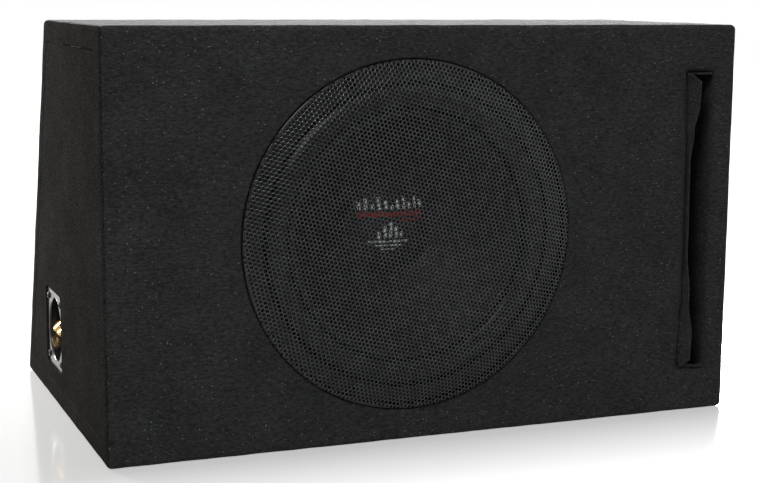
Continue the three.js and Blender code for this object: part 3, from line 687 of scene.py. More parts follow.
def fill_amp_hole(sheet, loop, low, high):
    """The felt's cut edge round the amplifier plate."""
    outer = [AMP.inverted() @ sheet.verts[index] for index in loop]
    for inward, sink in ((0.2, 0.1), (0.45, 0.5), (0.5, 1.2), (0.5, 4.0), (0.5, 8.4)):
        near, far = low + Vector((inward, inward)) * MM, high - Vector((inward, inward)) * MM
        loop = sheet.ring(loop, [AMP @ Vector((min(max(p.x, near.x), far.x), min(max(p.y, near.y), far.y),
                                               p.z - sink * MM)) for p in outer])


def grow_wrap(rows, columns, holes):
    """The wrap as a grid of faces, and the loop of vertex numbers round each hole left open in it.

    A hole is the number of a side of the outline and a test for the cells that are inside it.
    """
    sheet = Sheet()
    for x, inset in columns:
        sheet.verts += [Vector((x, p.x, p.y)) for p in side_path(rows, inset)]
    count = len(rows)
    open_cells = [[] for unused in holes]
    for i in range(len(columns) - 1):
        for j in range(count):
            corners = (i * count + j, (i + 1) * count + j, (i + 1) * count + (j + 1) % count,
                       i * count + (j + 1) % count)
            middle = (sheet.verts[corners[0]] + sheet.verts[corners[2]]) / 2
            flat = columns[i][1] == 0 and columns[i + 1][1] == 0 and rows[j][1] == "flat"
            inside = [flat and rows[j][0] == side and test(middle) for side, test in holes]
            if any(inside):
                open_cells[inside.index(True)].append((i, j))
            else:
                sheet.faces.append(corners)
    loops = []
    for cells in open_cells:
        i0, i1 = min(i for i, j in cells), max(i for i, j in cells) + 1
        j0, j1 = min(j for i, j in cells), max(j for i, j in cells) + 1
        around = [(i, j0) for i in range(i0, i1)] + [(i1, j) for j in range(j0, j1)]
        around += [(i, j1) for i in range(i1, i0, -1)] + [(i0, j) for j in range(j1, j0, -1)]
        loops.append([i * count + j for i, j in around])
    return sheet, loops


def make_wrap():
    """One felt sheet round the front, top, back and foot, its edges turned over the ends."""
    low, high, deep = slot_opening()
    centre = Vector((DRIVER_CENTRE.x, FRONT, DRIVER_CENTRE.z))
    hole = (grille_high.x - grille_low.x) / 2 + 1 * MM
    half = hole + 6.5 * MM
    margin = Vector((1, 1)) * MM
    plate_low, plate_high = span("amp_plate", AMP)
    amp_low, amp_high = plate_low.xy - margin, plate_high.xy + margin
    surface = Vector((0, BACK_LOW, 0)).dot(OUTWARD)
    on_back = [AMP @ Vector((0, s, surface)) for s in (amp_low.y, amp_high.y)]
    slot_x, slot_z = ((low[k] - SLOT_ROLL, high[k] + SLOT_ROLL) for k in (0, 2))
    rows = wrap_rows([(FRONT, z) for z in (centre.z - half, centre.z + half, *slot_z)],
                     [(p.y, p.z) for p in on_back])
    columns = wrap_columns([-amp_low.x, -amp_high.x, centre.x - half, centre.x + half, *slot_x])
    sheet, loops = grow_wrap(rows, columns, [
        (0, lambda p: max(abs(p.x - centre.x), abs(p.z - centre.z)) < half),
        (0, lambda p: slot_x[0] < p.x < slot_x[1] and slot_z[0] < p.z < slot_z[1]),
        (2, lambda p: -amp_high.x < p.x < -amp_low.x and amp_low.y < p.dot(UP_SLOPE) < amp_high.y),
    ])
    fill_circle(sheet, loops[0], centre, hole)
    fill_slot(sheet, loops[1], low, high, deep)
    fill_amp_hole(sheet, loops[2], amp_low, amp_high)
    wrap = piece("felt_wrap", (sheet.verts, sheet.faces), "carpet",
                 replaces=("carpet_wrap", "carpet_bottom"), sharp=180)
    # the ends and the edges turned over them take the darker end felt, painted shade for the dimmer light on the
    # sides
    wrap.data.materials.append(MATERIALS["carpet_end_shaded"])
    for face in wrap.data.polygons:
        if abs(face.center.x) > HALF_WIDTH - EDGE / 2:
            face.material_index = 1
    unsettle(wrap.data)
    solid = wrap.modifiers.new("thickness", "SOLIDIFY")
    solid.thickness = 1.6 * MM
    solid.offset = -1
    fray_slot(low, high)


def unsettle(mesh):
    """Moves each vertex of a felt mesh a little along its normal, and never below the ground."""
    work = bmesh.new()
    work.from_mesh(mesh)
    lowest = min(work.faces, key=lambda face: face.calc_center_median().y)
    if lowest.normal.y > 0:
        bmesh.ops.reverse_faces(work, faces=work.faces)
    work.normal_update()
    for vert in work.verts:
        vert.co += vert.normal * felt_wobble(vert.co)
        vert.co.z = max(vert.co.z, 0)
    work.to_mesh(mesh)
    work.free()


def fray_slot(low, high):
    """Short loose fibres along the cut felt at the slot's foot and left side."""
    chance = random.Random(7)
    verts, faces = [], []
    for unused in range(150):
        at_foot = chance.random() < 0.75
        along = chance.random()
        if at_foot:
            root = Vector((low.x + along * (high.x - low.x), FRONT + chance.uniform(2, 8) * MM,
                           low.z - 1.2 * MM))
            lift = Vector((chance.uniform(-0.6, 0.6), chance.uniform(-0.8, 0.3), 1.0))
        else:
            root = Vector((low.x + 0.5 * MM, FRONT + chance.uniform(2, 8) * MM,
                           low.z + along * 0.16 * (high.z - low.z)))
            lift = Vector((1.0, chance.uniform(-0.8, 0.3), chance.uniform(-0.6, 0.6)))
        tip = root + lift.normalized() * chance.uniform(1.2, 3.2) * MM
        strand(verts, faces, root, tip, 0.09 * MM)
    piece("slot_frayed_edge", (verts, faces), "frayed_felt", slot="carpet")


def strand(verts, faces, root, tip, radius):
    """One three-sided fibre, tapered to its tip."""
    along = (tip - root).normalized()
    side = along.orthogonal().normalized()
    other = along.cross(side)
    start = len(verts)
    for place, size in ((root, radius), (tip, radius * 0.4)):
        for i in range(3):
            angle = 2 * math.pi * i / 3
            verts.append(place + (side * math.cos(angle) + other * math.sin(angle)) * size)
    sides = [(0, 1, 4, 3), (1, 2, 5, 4), (2, 0, 3, 5), (2, 1, 0), (3, 4, 5)]
    faces += [tuple(start + i for i in face) for face in sides]


# ---------------------------------------------------------------- flat shapes cut from sheet
def rounded_square(half, radius):
    inner = half - radius
    points = []
    for i, centre in enumerate(((inner, inner), (-inner, inner), (-inner, -inner), (inner, -inner))):
        points += arc(centre, radius, 90 * i, 90 * (i + 1), 8)
    return points


def circle(radius, sides=96):
    return arc((0, 0), radius, 0, 360 - 360 / sides, sides - 1)


def sheet_cut(name, outlines, low, high, bevel, turn, material, **options):
    """A flat piece bounded by closed outlines, the first outside and the rest holes, with rounded edges."""
    curve = bpy.data.curves.new(name, "CURVE")
    curve.dimensions = "2D"
    curve.fill_mode = "BOTH"
    curve.extrude = (high - low) / 2 - bevel
    curve.bevel_depth = bevel
    curve.bevel_resolution = 2
    curve.offset = -bevel
    for outline in outlines:
        spline = curve.splines.new("POLY")
        spline.points.add(len(outline) - 1)
        for point, (x, y) in zip(spline.points, outline):
            point.co = (x, y, 0, 1)
        spline.use_cyclic_u = True
    holder = linked(name + "_outline", curve)
    solid = holder.evaluated_get(bpy.context.evaluated_depsgraph_get())
    mesh = bpy.data.meshes.new_from_object(solid)
    verts = [v.co + Vector((0, 0, (low + high) / 2)) for v in mesh.vertices]
    faces = [tuple(p.vertices) for p in mesh.polygons]
    bpy.data.objects.remove(holder)
    bpy.data.curves.remove(curve)
    bpy.data.meshes.remove(mesh)
    made = piece(name, (verts, faces), material, turn=turn, **options)
    made.modifiers.new("steady_faces", "WEIGHTED_NORMAL").weight = 100


def make_side_carpets():
    """Plain felt on each end, let in behind the turned edges of the wrap and cut away round the cup."""
    low, high = HALF_WIDTH - CARPET + 0.3 * MM, HALF_WIDTH - 0.2 * MM
    for sign, node in ((-1, "carpet_left_side"), (1, "carpet_right_side")):
        outlines = [[(sign * p.x, p.y) for p in (inset_corner(i, SEAM) for i in range(4))]]
        if sign < 0:
            hole = rounded_square((cup_high.z - cup_low.z) / 2 + 0.5 * MM, CUP_CORNER)
            outlines.append([(x - CUP_CENTRE.y, y + CUP_CENTRE.z) for x, y in hole])
        # painted shade: the end felt is the darker copy of the front felt
        sheet_cut(node + "_felt", outlines, low, high, 0.8 * MM, local_frame((0, sign, 0), (0, 0, 1)),
                  "carpet_end_shaded", slot="carpet", replaces=(node,), sharp=180)


# ---------------------------------------------------------------- grille
def grille_height(radius, front, flat, slope):
    """Height of the grille's outer face: flat, then sloping down with a rounded bend."""
    bend = 7 * MM
    past = radius - flat
    if past < -bend:
        return front
    if past > bend:
        return front - past * slope
    return front - slope * (past + bend) ** 2 / (4 * bend)


def grille_cell(pitch, hole, first):
    """Twelve (outer x, outer y, hole x, hole y) rows round one hole of the triangular pattern."""
    cell = []
    for k in range(12):
        c, s = math.cos(first + math.radians(30 * k)), math.sin(first + math.radians(30 * k))
        reach = pitch / math.sqrt(3) if k % 2 else pitch / 2
        cell.append((reach * c, reach * s, hole * c, hole * s))
    return cell


def make_grille():
    """A dished steel sheet punched with a close triangular pattern of round holes, and its rolled rim in darker
    paint, as painted shade for the gap round the grille.
    """
    pitch, hole, thickness, first = 3.9 * MM, 1.58 * MM, 0.9 * MM, math.radians(-15.3)
    points = points_of("grille_mesh", DRIVER)
    front = max(p.z for p in points)
    rim = max(p.xy.length for p in points)
    rim_height = max(p.z for p in points if p.xy.length > rim - 0.1 * MM)
    flat = max(p.xy.length for p in points if p.z > front - 0.1 * MM)
    slope = (front - rim_height) / (rim - flat)
    punched = rim - 0.1 * MM
    cell = grille_cell(pitch, hole, first)
    across = Vector((math.cos(first), math.sin(first))) * pitch
    up = Vector((math.cos(first + math.pi / 3), math.sin(first + math.pi / 3))) * pitch
    section = ((0, 0), (0.72, 0), (1, 0.24 * MM), (1, thickness), (0, thickness))
    verts, faces = [], []
    reach = int(rim / pitch * 1.3)
    for i in range(-reach, reach + 1):
        for j in range(-reach, reach + 1):
            middle = across * i + up * j
            if middle.length > punched - 0.4 * MM:
                continue
            start = len(verts)
            for ox, oy, hx, hy in cell:
                for share, drop in section:
                    x, y = middle.x + ox + (hx - ox) * share, middle.y + oy + (hy - oy) * share
                    radius = math.hypot(x, y)
                    pull = min(1, punched / radius) if radius else 1
                    height = grille_height(radius * pull, front, flat, slope)
                    verts.append((x * pull, y * pull, height - drop))
            for k in range(12):
                a, b = start + 5 * k, start + 5 * ((k + 1) % 12)
                faces += [(a + i, b + i, b + i + 1, a + i + 1) for i in range(4)]
    piece("grille_perforated_sheet", (verts, faces), "grille_paint", replaces=("grille_mesh",), turn=DRIVER,
          sharp=60)
    # painted shade: the rolled rim takes the black basket paint, darker than the grille's coat, for the shadow gap
    # round the grille
    band, under = 1.3 * MM, rim_height - thickness - 0.1 * MM
    profile = [(rim - band, under + slope * band), (rim - 0.3 * MM, under + 0.1 * MM),
               (rim, under - 0.3 * MM), (rim, under - 1.0 * MM), (rim - band, under - 1.0 * MM)]
    piece("grille_rim_painted_shade", lathe(profile, 180), "basket_paint", slot="grille_paint", turn=DRIVER, sharp=50)


# ---------------------------------------------------------------- driver
def blend_by_radius(made, centre, inner, outer):
    """The piece follows the cone inside one radius, the cabinet outside another, and stretches between."""
    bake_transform(made, CABINET, "cone_assembly", centre, centre + Vector((outer, 0, 0)))
    weights = made.data.attributes["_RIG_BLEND"].data
    for vert, weight in zip(made.data.vertices, weights):
        away = vert.co - centre
        share = (outer - math.hypot(away.x, away.z)) / (outer - inner)
        weight.value = min(max(share, 0), 1)


def make_surround():
    """A half-round rubber roll between two flat lips."""
    inner, outer, low, high = ring_of("surround", DRIVER)
    lip, skin, steps = 5 * MM, 1 * MM, 20
    middle, half = (inner + outer) / 2, (outer - inner) / 2 - lip
    rise = high - low - skin

    def roll(lift, width):
        angles = [math.pi - math.pi * i / steps for i in range(steps + 1)]
        bow = [(middle + width * math.cos(a), lift + rise * math.sin(a)) for a in angles]
        return [(inner, lift)] + bow + [(outer, lift)]

    top, under = roll(low + skin, half), roll(low, half - 0.6 * MM)
    made = piece("surround_roll", lathe(top + under[::-1], 128), "rubber", body=None, replaces=("surround",),
                 turn=DRIVER)
    blend_by_radius(made, DRIVER.translation, middle - half, middle + half)


def make_cone():
    """Pulp cone, slightly curved, with pressed rings."""
    inner, outer, low, high = ring_of("cone", DRIVER)
    wall, lip, steps = 1.1 * MM, 5.5 * MM, 28
    foot = low + 1.7 * MM
    top = []
    for i in range(steps + 1):
        share = i / steps
        bow = 1.2 * MM * math.sin(math.pi * share)
        press = 0.25 * MM * max(0, math.sin(share * math.pi * 14)) if 0.5 < share < 0.95 else 0
        top.append((inner + (outer - lip - inner) * share, foot + (high - foot) * share - bow + press))
    top.append((outer, high))
    under = [(radius, height - wall) for radius, height in reversed(top)]
    piece("cone_body", lathe(top + under, 128), "cone_paper", "cone_assembly", replaces=("cone",),
          turn=DRIVER)


def cap_height(radius):
    """Height of the dust cap's outer face at a radius."""
    share = radius / CAP_RIM
    return CAP_FOOT + CAP_SKIN + (CAP_TOP - CAP_FOOT - CAP_SKIN) * (1 - share * share)


def make_dust_cap():
    steps = 16
    top = [(CAP_RIM * i / steps, cap_height(CAP_RIM * i / steps)) for i in range(steps + 1)]
    under = [(radius, height - CAP_SKIN) for radius, height in reversed(top[:-1])]
    glue = [(CAP_RIM + 1.2 * MM, CAP_FOOT + 0.9 * MM), (CAP_RIM + 1.2 * MM, CAP_FOOT + 0.3 * MM),
            (CAP_RIM - 0.3 * MM, CAP_FOOT)]
    piece("dust_cap_dome", lathe(top + glue + under, 96), "cone_paper", "cone_assembly",
          replaces=("dust_cap",), turn=DRIVER)


def printed(name, bars, material):
    """Thin raised print on the dust cap. Each bar is (left, foot, width, height) in millimetres."""
    verts, faces = [], []
    step = 2.0
    for left, foot, width, height in bars:
        columns, rows = max(1, round(width / step)), max(1, round(height / step))
        start = len(verts)
        for lift in (0.35, 0.05):
            for j in range(rows + 1):
                for i in range(columns + 1):
                    x, y = (left + width * i / columns) * MM, (foot + height * j / rows) * MM
                    verts.append((x, y, cap_height(math.hypot(x, y)) + lift * MM))
        wide, layer = columns + 1, (columns + 1) * (rows + 1)
        for j in range(rows):
            for i in range(columns):
                a = start + j * wide + i
                faces += [(a, a + 1, a + 1 + wide, a + wide),
                          (a + layer, a + layer + wide, a + layer + 1 + wide, a + layer + 1)]
        rim = [start + i for i in range(columns)] + [start + columns + j * wide for j in range(rows)]
        rim += [start + rows * wide + i for i in range(columns, 0, -1)]
        rim += [start + j * wide for j in range(rows, 0, -1)]
        faces += [(b, a, a + layer, b + layer) for a, b in zip(rim, rim[1:] + rim[:1])]
    piece(name, (verts, faces), material, "cone_assembly", slot="cone_paper", turn=DRIVER, sharp=20)


def make_print():
    """A generic level-meter motif: bars of different heights, a red rule and short white rules."""
    levels = (7, 10, 5, 11, 8, 4, 9, 11, 6, 10, 7)
    bars = [(-31 + 6 * i, 18, 3.0, level) for i, level in enumerate(levels)]
    lower = (6, 11, 15, 11, 6)
    bars += [(-14 + 5.4 * i, -8, 2.8, level) for i, level in enumerate(lower)]
    bars += [(-22, -12, 38, 1.8), (-17, -15.5, 27, 1.5), (-10, -19, 14, 1.3)]
    printed("cap_print_white", bars, "white_print")
    printed("cap_print_red", [(-32, 11.4, 64, 4.4), (6, 6.6, 26, 2.4)], "red_print")


def make_spider():
    """Treated cloth disc, flat where it is glued and pressed into waves between."""
    inner, outer, low, high = ring_of("spider", DRIVER)
    skin, waves, steps = 0.6 * MM, 7, 84
    middle, ridge = (low + high - skin) / 2, (high - low - 1 * MM) / 2
    start, end = inner + 3 * MM, outer - 15.5 * MM
    line = [(inner, middle)]
    for i in range(steps + 1):
        share = i / steps
        line.append((start + (end - start) * share, middle - ridge * math.sin(math.pi * waves * share)))
    line.append((outer, middle))
    disc = lathe([(r, z + skin) for r, z in line] + [(r, z) for r, z in reversed(line)], 96)
    made = piece("spider_disc", disc, "spider_cloth", body=None, replaces=("spider",), turn=DRIVER)
    blend_by_radius(made, DRIVER.translation, start, end)


def make_winding():
    """Turns of enamelled wire on the coil former."""
    inner, outer, low, high = ring_of("voice_coil_winding", DRIVER)
    wire = (outer - inner) / 2
    parts = []
    for i in range(int((high - low) / (2 * wire))):
        parts.append(lathe(arc((inner + wire, low + wire + 2 * wire * i), wire, 0, 330, 11), 72))
    piece("coil_turns", combine(*parts), "copper", "cone_assembly", replaces=("voice_coil_winding",),
          turn=DRIVER)


def make_screw(name, node, turn):
    """A pan head with a six-lobed socket over a threaded shank, where the CAD has its plain screw."""
    points = points_of(node, turn)
    middle = Vector((sum(p.x for p in points), sum(p.y for p in points))) / len(points)
    radii = [(p.xy - middle).length for p in points]
    low, high = min(p.z for p in points), max(p.z for p in points)
    shank = max(r for r, p in zip(radii, points) if p.z < low + 0.5 * MM)
    head_low = min(p.z for r, p in zip(radii, points) if r > shank + 0.5 * MM)
    screw = combine(screw_head(max(radii), head_low, high), thread(shank, low, head_low + 0.3 * MM))
    piece(name, placed(screw, *middle), "basket_paint", replaces=(node,), turn=turn, sharp=35)


def screw_head(radius, low, high):
    """A domed head with a star socket."""
    sides, lobes, rise = 36, 6, high - low
    outer = [(radius * 0.3, low), (radius, low), (radius, low + rise * 0.35),
             (radius * 0.93, low + rise * 0.7), (radius * 0.75, low + rise * 0.92), (radius * 0.5, high)]
    deep = high - rise * 0.6
    socket = [(radius * 0.46, high - rise * 0.04), (radius * 0.42, deep), (0, deep)]
    verts, faces = lathe(outer + socket + [(0, low)], sides)
    count = len(verts) // sides
    shaped = []
    for i, (x, y, z) in enumerate(verts):
        lobe = 1 + 0.14 * math.cos(lobes * 2 * math.pi * (i // count) / sides)
        in_socket = len(outer) <= i % count < len(outer) + 2
        shaped.append((x * lobe, y * lobe, z) if in_socket else (x, y, z))
    return shaped, faces


def crests(radius, low, high, pitch, rise):
    """Profile points of ring-shaped thread crests that start at one height and stay below another."""
    points = []
    while low < high - pitch:
        points += [(radius - THREAD_DEPTH, low), (radius, low + pitch * rise)]
        low += pitch
    return points


def thread(radius, low, high):
    """A shank with thread crests and a pointed foot."""
    profile = [(0, low), (radius * 0.35, low + 0.6 * MM)] + crests(radius, low + 1.2 * MM, high, 1 * MM, 0.45)
    return lathe(profile + [(radius - THREAD_DEPTH, high), (0, high)], 20)


# ---------------------------------------------------------------- CAD pieces with finished edges
def refined(node, bevel=0.0, rides=True):
    """A copy of a CAD node with its edges rounded and its round faces smooth, in the same place."""
    work = bmesh.new()
    work.from_mesh(frame["nodes"][node].data)
    bmesh.ops.remove_doubles(work, verts=work.verts, dist=1e-6)
    bmesh.ops.dissolve_limit(work, angle_limit=math.radians(0.5), verts=work.verts, edges=work.edges)
    mesh = bpy.data.meshes.new(node + "_finished")
    work.to_mesh(mesh)
    work.free()
    slot = SLOTS[node]
    made = finish_piece(node + "_finished", mesh, slot, BODIES[node] if rides else None, (node,), 32)
    if bevel:
        rounding = made.modifiers.new("rounding", "BEVEL")
        rounding.width = bevel
        rounding.segments = 2
        rounding.limit_method = "ANGLE"
        rounding.angle_limit = math.radians(34)
        rounding.harden_normals = True
    return made


# ---------------------------------------------------------------- terminal cup
def prism(outline, low, high, bevel):
    """Verts and faces of a (y, z) outline run along X, with rounded edges."""
    work = bmesh.new()
    ends = [[work.verts.new((x, y, z)) for y, z in outline] for x in (low, high)]
    work.faces.new(ends[0][::-1])
    work.faces.new(ends[1])
    for i in range(len(outline)):
        k = (i + 1) % len(outline)
        work.faces.new((ends[0][i], ends[0][k], ends[1][k], ends[1][i]))
    bmesh.ops.recalc_face_normals(work, faces=work.faces)
    bmesh.ops.bevel(work, geom=work.edges[:], offset=bevel, segments=3, profile=0.5, affect="EDGES")
    work.verts.index_update()
    result = [tuple(v.co) for v in work.verts], [tuple(v.index for v in f.verts) for f in work.faces]
    work.free()
    return result


def make_cup():
    """Polished square flange, round dish and the sloping boss that carries the two posts."""
    low, high = span("terminal_cup", CUP)
    wall, lip, fillet = 2 * MM, 1.6 * MM, 3 * MM
    face, floor = high.z, low.z + wall
    dish = max(p.xy.length for p in points_of("terminal_cup", CUP) if abs(p.z - floor) < 0.1 * MM)
    flange = [rounded_square((high.x - low.x) / 2, CUP_CORNER), circle(dish + lip)]
    sheet_cut("cup_flange", flange, face - wall, face, 0.5 * MM, CUP, "gloss_plastic")
    profile = arc((dish + lip, face - lip), lip, 90, 180, 5)
    profile += arc((dish - fillet, floor + fillet), fillet, 0, -90, 6)
    profile += [(0, floor), (0, low.z), (dish + wall - 1 * MM, low.z), (dish + wall, low.z + 1 * MM)]
    profile += [(dish + wall, face - 1 * MM), (dish + lip + 0.4 * MM, face - 0.4 * MM)]
    foot, heel, half_boss = -20.5 * MM, -0.5 * MM, 19 * MM
    boss = prism([(foot, floor - 1 * MM), (heel, floor - 1 * MM), (heel, floor), (foot, floor + heel - foot)],
                 -half_boss, half_boss, 0.8 * MM)
    piece("cup_dish", combine(lathe(profile, 96), boss), "gloss_plastic", replaces=("terminal_cup",),
          turn=CUP)
    for i in range(1, 5):
        make_screw(f"cup_screw_head_{i}", f"cup_screw_{i}", CUP)


def make_posts():
    """Gold binding posts: a threaded stud, a clamping collar and a knurled cap with coloured rings."""
    for colour in ("red", "black"):
        joint = JOINTS[f"{colour}_cap_turn"]
        axis = Vector(joint["axis"])
        turn = local_frame(Vector((0, 1, 0)).cross(axis), (0, 1, 0), joint["pos_m"])
        make_stud(colour, turn)
        make_collar(colour, turn)
        make_cap(colour, turn)


def make_stud(colour, turn):
    """A flanged stud with thread crests above the flange."""
    outer, low, high = ring_of(f"post_stud_{colour}", turn)[1:]
    core, foot, top = 2.2 * MM, 0.3 * MM, 3.3 * MM
    profile = [(0, low), (core - 0.4 * MM, low), (core, low + 0.5 * MM), (core, foot),
               (outer - 0.3 * MM, foot), (outer, foot + 0.3 * MM), (outer, top - 0.4 * MM),
               (outer - 0.4 * MM, top)]
    profile += crests(core, top + 0.3 * MM, high, 0.7 * MM, 0.5)
    profile += [(core - 0.5 * MM, high), (0, high)]
    piece(f"stud_{colour}", lathe(profile, 40), "gold_plate", replaces=(f"post_stud_{colour}",), turn=turn,
          sharp=40)


def make_collar(colour, turn):
    inner, outer, low, high = ring_of(f"post_collar_{colour}", turn)
    soft, sides = 0.5 * MM, 48
    profile = [(inner, low), (outer - soft, low), (outer, low + soft), (outer, high - soft),
               (outer - soft, high), (inner, high)]
    ring = fluted(lathe(profile, sides), sides, low + soft / 2, high - soft / 2, 0.02)
    piece(f"collar_{colour}", ring, "gold_plate", f"{colour}_collar", replaces=(f"post_collar_{colour}",),
          turn=turn, sharp=40)


def make_cap(colour, turn):
    """A blind cap, fluted above and below two grooves that hold coloured rings."""
    outer, low, high = ring_of(f"post_cap_{colour}", turn)[1:]
    bore, roof, groove, sides, flute = 2.5 * MM, high - 2 * MM, 0.35 * MM, 96, 0.035
    bands = [(high - 5.9 * MM, high - 4.8 * MM), (high - 4.1 * MM, high - 3.0 * MM)]
    profile = [(0, roof), (bore, roof), (bore, low), (outer - 0.5 * MM, low), (outer, low + 0.5 * MM)]
    profile += [(outer, low + 0.9 * MM), (outer, low + 3.8 * MM)]
    for start, end in bands:
        profile += [(outer, start - 0.15 * MM), (outer - groove, start), (outer - groove, end),
                    (outer, end + 0.15 * MM)]
    profile += [(outer, high - 2.8 * MM), (outer, high - 1.0 * MM), (outer - 0.3 * MM, high - 0.4 * MM),
                (outer - 1.0 * MM, high), (0, high)]
    cap = lathe(profile, sides)
    for start, end in ((low + 0.7 * MM, low + 4.0 * MM), (high - 3.0 * MM, high - 0.9 * MM)):
        cap = fluted(cap, sides, start, end, flute)
    body = f"{colour}_cap"
    piece(f"cap_{colour}", cap, "gold_plate", body, replaces=(f"post_cap_{colour}",), turn=turn, sharp=40)
    rings = [lathe([(outer - 0.6 * MM, start + 0.05 * MM), (outer + 0.05 * MM, start + 0.2 * MM),
                    (outer + 0.05 * MM, end - 0.2 * MM), (outer - 0.6 * MM, end - 0.05 * MM)], 64)
             for start, end in bands]
    material, slot = ("red_ring", "lead_insulation") if colour == "red" else ("black_ring", "matte_plastic")
    piece(f"cap_rings_{colour}", combine(*rings), material, body, slot=slot, turn=turn)


# ---------------------------------------------------------------- amplifier
def middle_of(node):
    """Middle of a node's box in the amplifier's frame, as x and y."""
    low, high = span(node, AMP)
    return ((low + high) / 2).xy


def rotated(shape, degrees):
    """A shape turned about local Z."""
    c, s = math.cos(math.radians(degrees)), math.sin(math.radians(degrees))
    return [(x * c - y * s, x * s + y * c, z) for x, y, z in shape[0]], shape[1]


def make_knob(node, body):
    """A fluted knob with a skirt, on a shaft that goes through the plate, and its pointer line."""
    low, high = span(node, AMP)
    shaft, outer, sides = 3 * MM, (high.x - low.x) / 2, 72
    profile = [(0, low.z), (shaft, low.z), (shaft, AMP_SEAT), (outer, AMP_SEAT), (outer, AMP_SEAT + 1.2 * MM),
               (outer * 0.93, AMP_SEAT + 1.5 * MM), (outer * 0.88, high.z - 0.8 * MM),
               (outer * 0.82, high.z - 0.2 * MM), (outer * 0.74, high.z), (outer * 0.6, high.z - 0.25 * MM),
               (0, high.z - 0.35 * MM)]
    cap = fluted(lathe(profile, sides), sides, AMP_SEAT + 1.4 * MM, high.z - 0.1 * MM, 0.045)
    piece(node + "_cap", placed(cap, *middle_of(node)), "matte_plastic", body, replaces=(node,), turn=AMP,
          sharp=35)
    line = rounded_block((-0.45 * MM, outer * 0.25, high.z - 0.5 * MM),
                         (0.45 * MM, outer * 0.72, high.z + 0.1 * MM), 0.15 * MM)
    piece(node + "_pointer", placed(line, *middle_of(node)), "white_print", body, slot="matte_plastic",
          turn=AMP)


def make_amp_print():
    """Dial ticks round each knob, two marks at the switch and a ring round each socket."""
    low, high = AMP_FACE - 0.05 * MM, AMP_FACE + 0.12 * MM
    half, soft, start = 0.25 * MM, 0.05 * MM, 9.8 * MM
    parts = []
    for node in ("gain_knob", "crossover_knob", "bass_boost_knob"):
        for step in range(11):
            length = (2.4 if step % 5 == 0 else 1.5) * MM
            tick = rounded_block((-half, start, low), (half, start + length, high), soft, 1)
            parts.append(placed(rotated(tick, 140 - 28 * step), *middle_of(node)))
    for offset in (-1.5, 5.5):
        left, right = (offset - 0.3) * MM, (offset + 0.3) * MM
        mark = rounded_block((left, 3.6 * MM, low), (right, 5.6 * MM, high), soft, 1)
        parts.append(placed(mark, *middle_of("phase_switch")))
    for node in ("rca_socket_left", "rca_socket_right"):
        ring = lathe([(7.6 * MM, low), (8.2 * MM, low), (8.2 * MM, high), (7.6 * MM, high)], 48)
        parts.append(placed(ring, *middle_of(node)))
    piece("amp_dial_marks", combine(*parts), "white_print", slot="anodised", turn=AMP)


def make_rca(node, colour):
    """A phono socket: a flanged gold shell and its coloured insulator."""
    low, high = span(node, AMP)
    barrel, flange, bore, pin = 4.2 * MM, 6 * MM, 3.3 * MM, 1.7 * MM
    profile = [(0, low.z), (barrel, low.z), (barrel, AMP_SEAT), (flange, AMP_SEAT),
               (flange, AMP_SEAT + 1.2 * MM), (flange - 0.6 * MM, AMP_SEAT + 1.8 * MM),
               (barrel, AMP_SEAT + 1.9 * MM),
               (barrel, high.z - 0.4 * MM), (barrel - 0.3 * MM, high.z), (bore + 0.2 * MM, high.z),
               (bore, high.z - 0.3 * MM), (bore, high.z - 3 * MM), (0, high.z - 3 * MM)]
    piece(node + "_shell", placed(lathe(profile, 48), *middle_of(node)), "gold_plate", replaces=(node,),
          turn=AMP)
    rim = bore - 0.05 * MM
    plug = lathe([(pin, high.z - 3.2 * MM), (rim, high.z - 3.2 * MM), (rim, high.z - 0.9 * MM),
                  (pin, high.z - 0.6 * MM)], 40)
    piece(node + "_insulator", placed(plug, *middle_of(node)), colour, slot="matte_plastic", turn=AMP)


def make_terminal_screws():
    """Three clamp screws in the top of the power terminal block."""
    top = span("power_terminal_block", AMP)[1].z
    middle = middle_of("power_terminal_block")
    head = screw_head(3.1 * MM, top - 0.6 * MM, top + 0.25 * MM)
    heads = [placed(head, middle.x + 2.5 * MM, middle.y + 14 * MM * i) for i in (-1, 0, 1)]
    piece("terminal_clamp_screws", combine(*heads), "steel", turn=AMP, sharp=35)


def make_plate_screws():
    """Screws round the edge of the amplifier plate."""
    low, high = span("amp_plate", AMP)
    inset = 5.5 * MM
    head = screw_head(3.4 * MM, AMP_FACE - 0.4 * MM, AMP_FACE + 1.1 * MM)
    heads = []
    for x in (low.x + inset, (low.x + high.x) / 2 + 8 * MM, high.x - inset):
        heads += [placed(head, x, y) for y in (low.y + inset, high.y - inset)]
    piece("amp_plate_screws", combine(*heads), "basket_paint", turn=AMP, sharp=35)


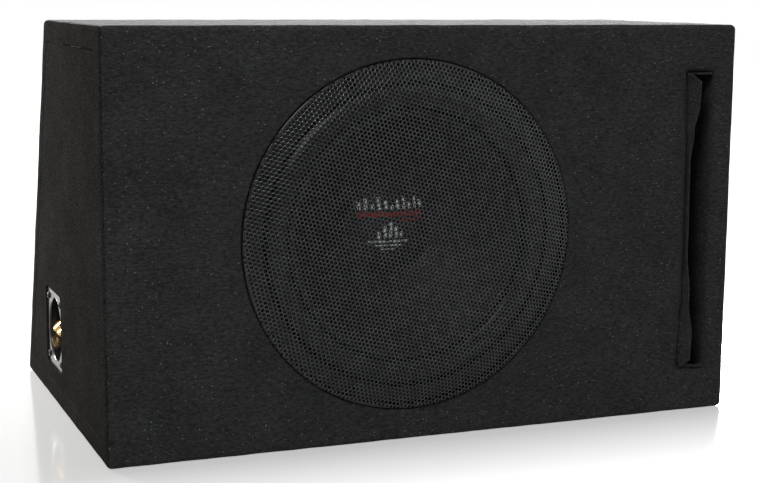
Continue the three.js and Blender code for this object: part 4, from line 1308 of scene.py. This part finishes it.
def make_gaskets():
    """Black foam strips that close the gaps between the felt and the two plates let into it."""
    low, high = span("amp_plate", AMP)
    loops = []
    for out in (0.9 * MM, 0.02 * MM):
        left, right, foot, top = low.x - out, high.x + out, low.y - out, high.y + out
        loops.append([(left, foot), (right, foot), (right, top), (left, top)])
    sheet_cut("amp_plate_gasket", loops, low.z, high.z - 0.8 * MM, 0.1 * MM, AMP, "black_ring", slot="rubber")
    low, high = span("terminal_cup", CUP)
    loops = [rounded_square((high.x - low.x) / 2 + out, CUP_CORNER) for out in (0.45 * MM, 0.02 * MM)]
    sheet_cut("cup_gasket", loops, high.z - 2 * MM, high.z - 0.6 * MM, 0.05 * MM, CUP, "black_ring",
              slot="rubber")


def make_amp():
    for node in ("gain", "crossover", "bass_boost"):
        make_knob(f"{node}_knob", f"{node}_control")
    make_amp_print()
    make_rca("rca_socket_left", "white_print")
    make_rca("rca_socket_right", "red_print")
    make_terminal_screws()
    make_plate_screws()


# ---------------------------------------------------------------- build
SLOTS = {part["node"]: part["material_slot"] for part in frame["record"]["subparts"]}
BODIES = {node: body for body, nodes in frame["record"]["behaviour"]["bodies"].items() for node in nodes}
# Nodes that keep their CAD shape, and how far their edges are rounded, in mm
EDGES = {
    "front_baffle": 0.4, "back_panel": 0.4, "left_side_panel": 0.4, "right_side_panel": 0.4, "top_panel": 0.4,
    "bottom_panel": 0.4, "port_wall": 0.4, "grille_frame": 0.4, "driver_basket": 0, "gasket_ring": 0.4,
    "magnet": 1.5, "top_plate": 0.6, "pole_piece": 0.6, "voice_coil_former": 0, "driver_terminal_block": 0.5,
    "amp_plate": 0.35, "amp_cover": 0.5, "amp_circuit_board": 0.2, "power_terminal_block": 0.35, "fuse": 0.35,
    "phase_switch": 0.3, "power_led": 0, "cup_lead": 0, "driver_lead": 0,
}

make_wrap()
make_side_carpets()
make_grille()
make_surround()
make_cone()
make_dust_cap()
make_print()
make_spider()
make_winding()
for number in range(1, 9):
    make_screw(f"driver_screw_head_{number}", f"driver_screw_{number}", DRIVER)
for side in ("positive", "negative"):
    lead = refined(f"tinsel_lead_{side}", rides=False)
    blend_by_radius(lead, DRIVER.translation, 36 * MM, 70 * MM)
make_cup()
make_posts()
make_amp()
make_gaskets()
for edged_node, edge in EDGES.items():
    refined(edged_node, edge * MM)
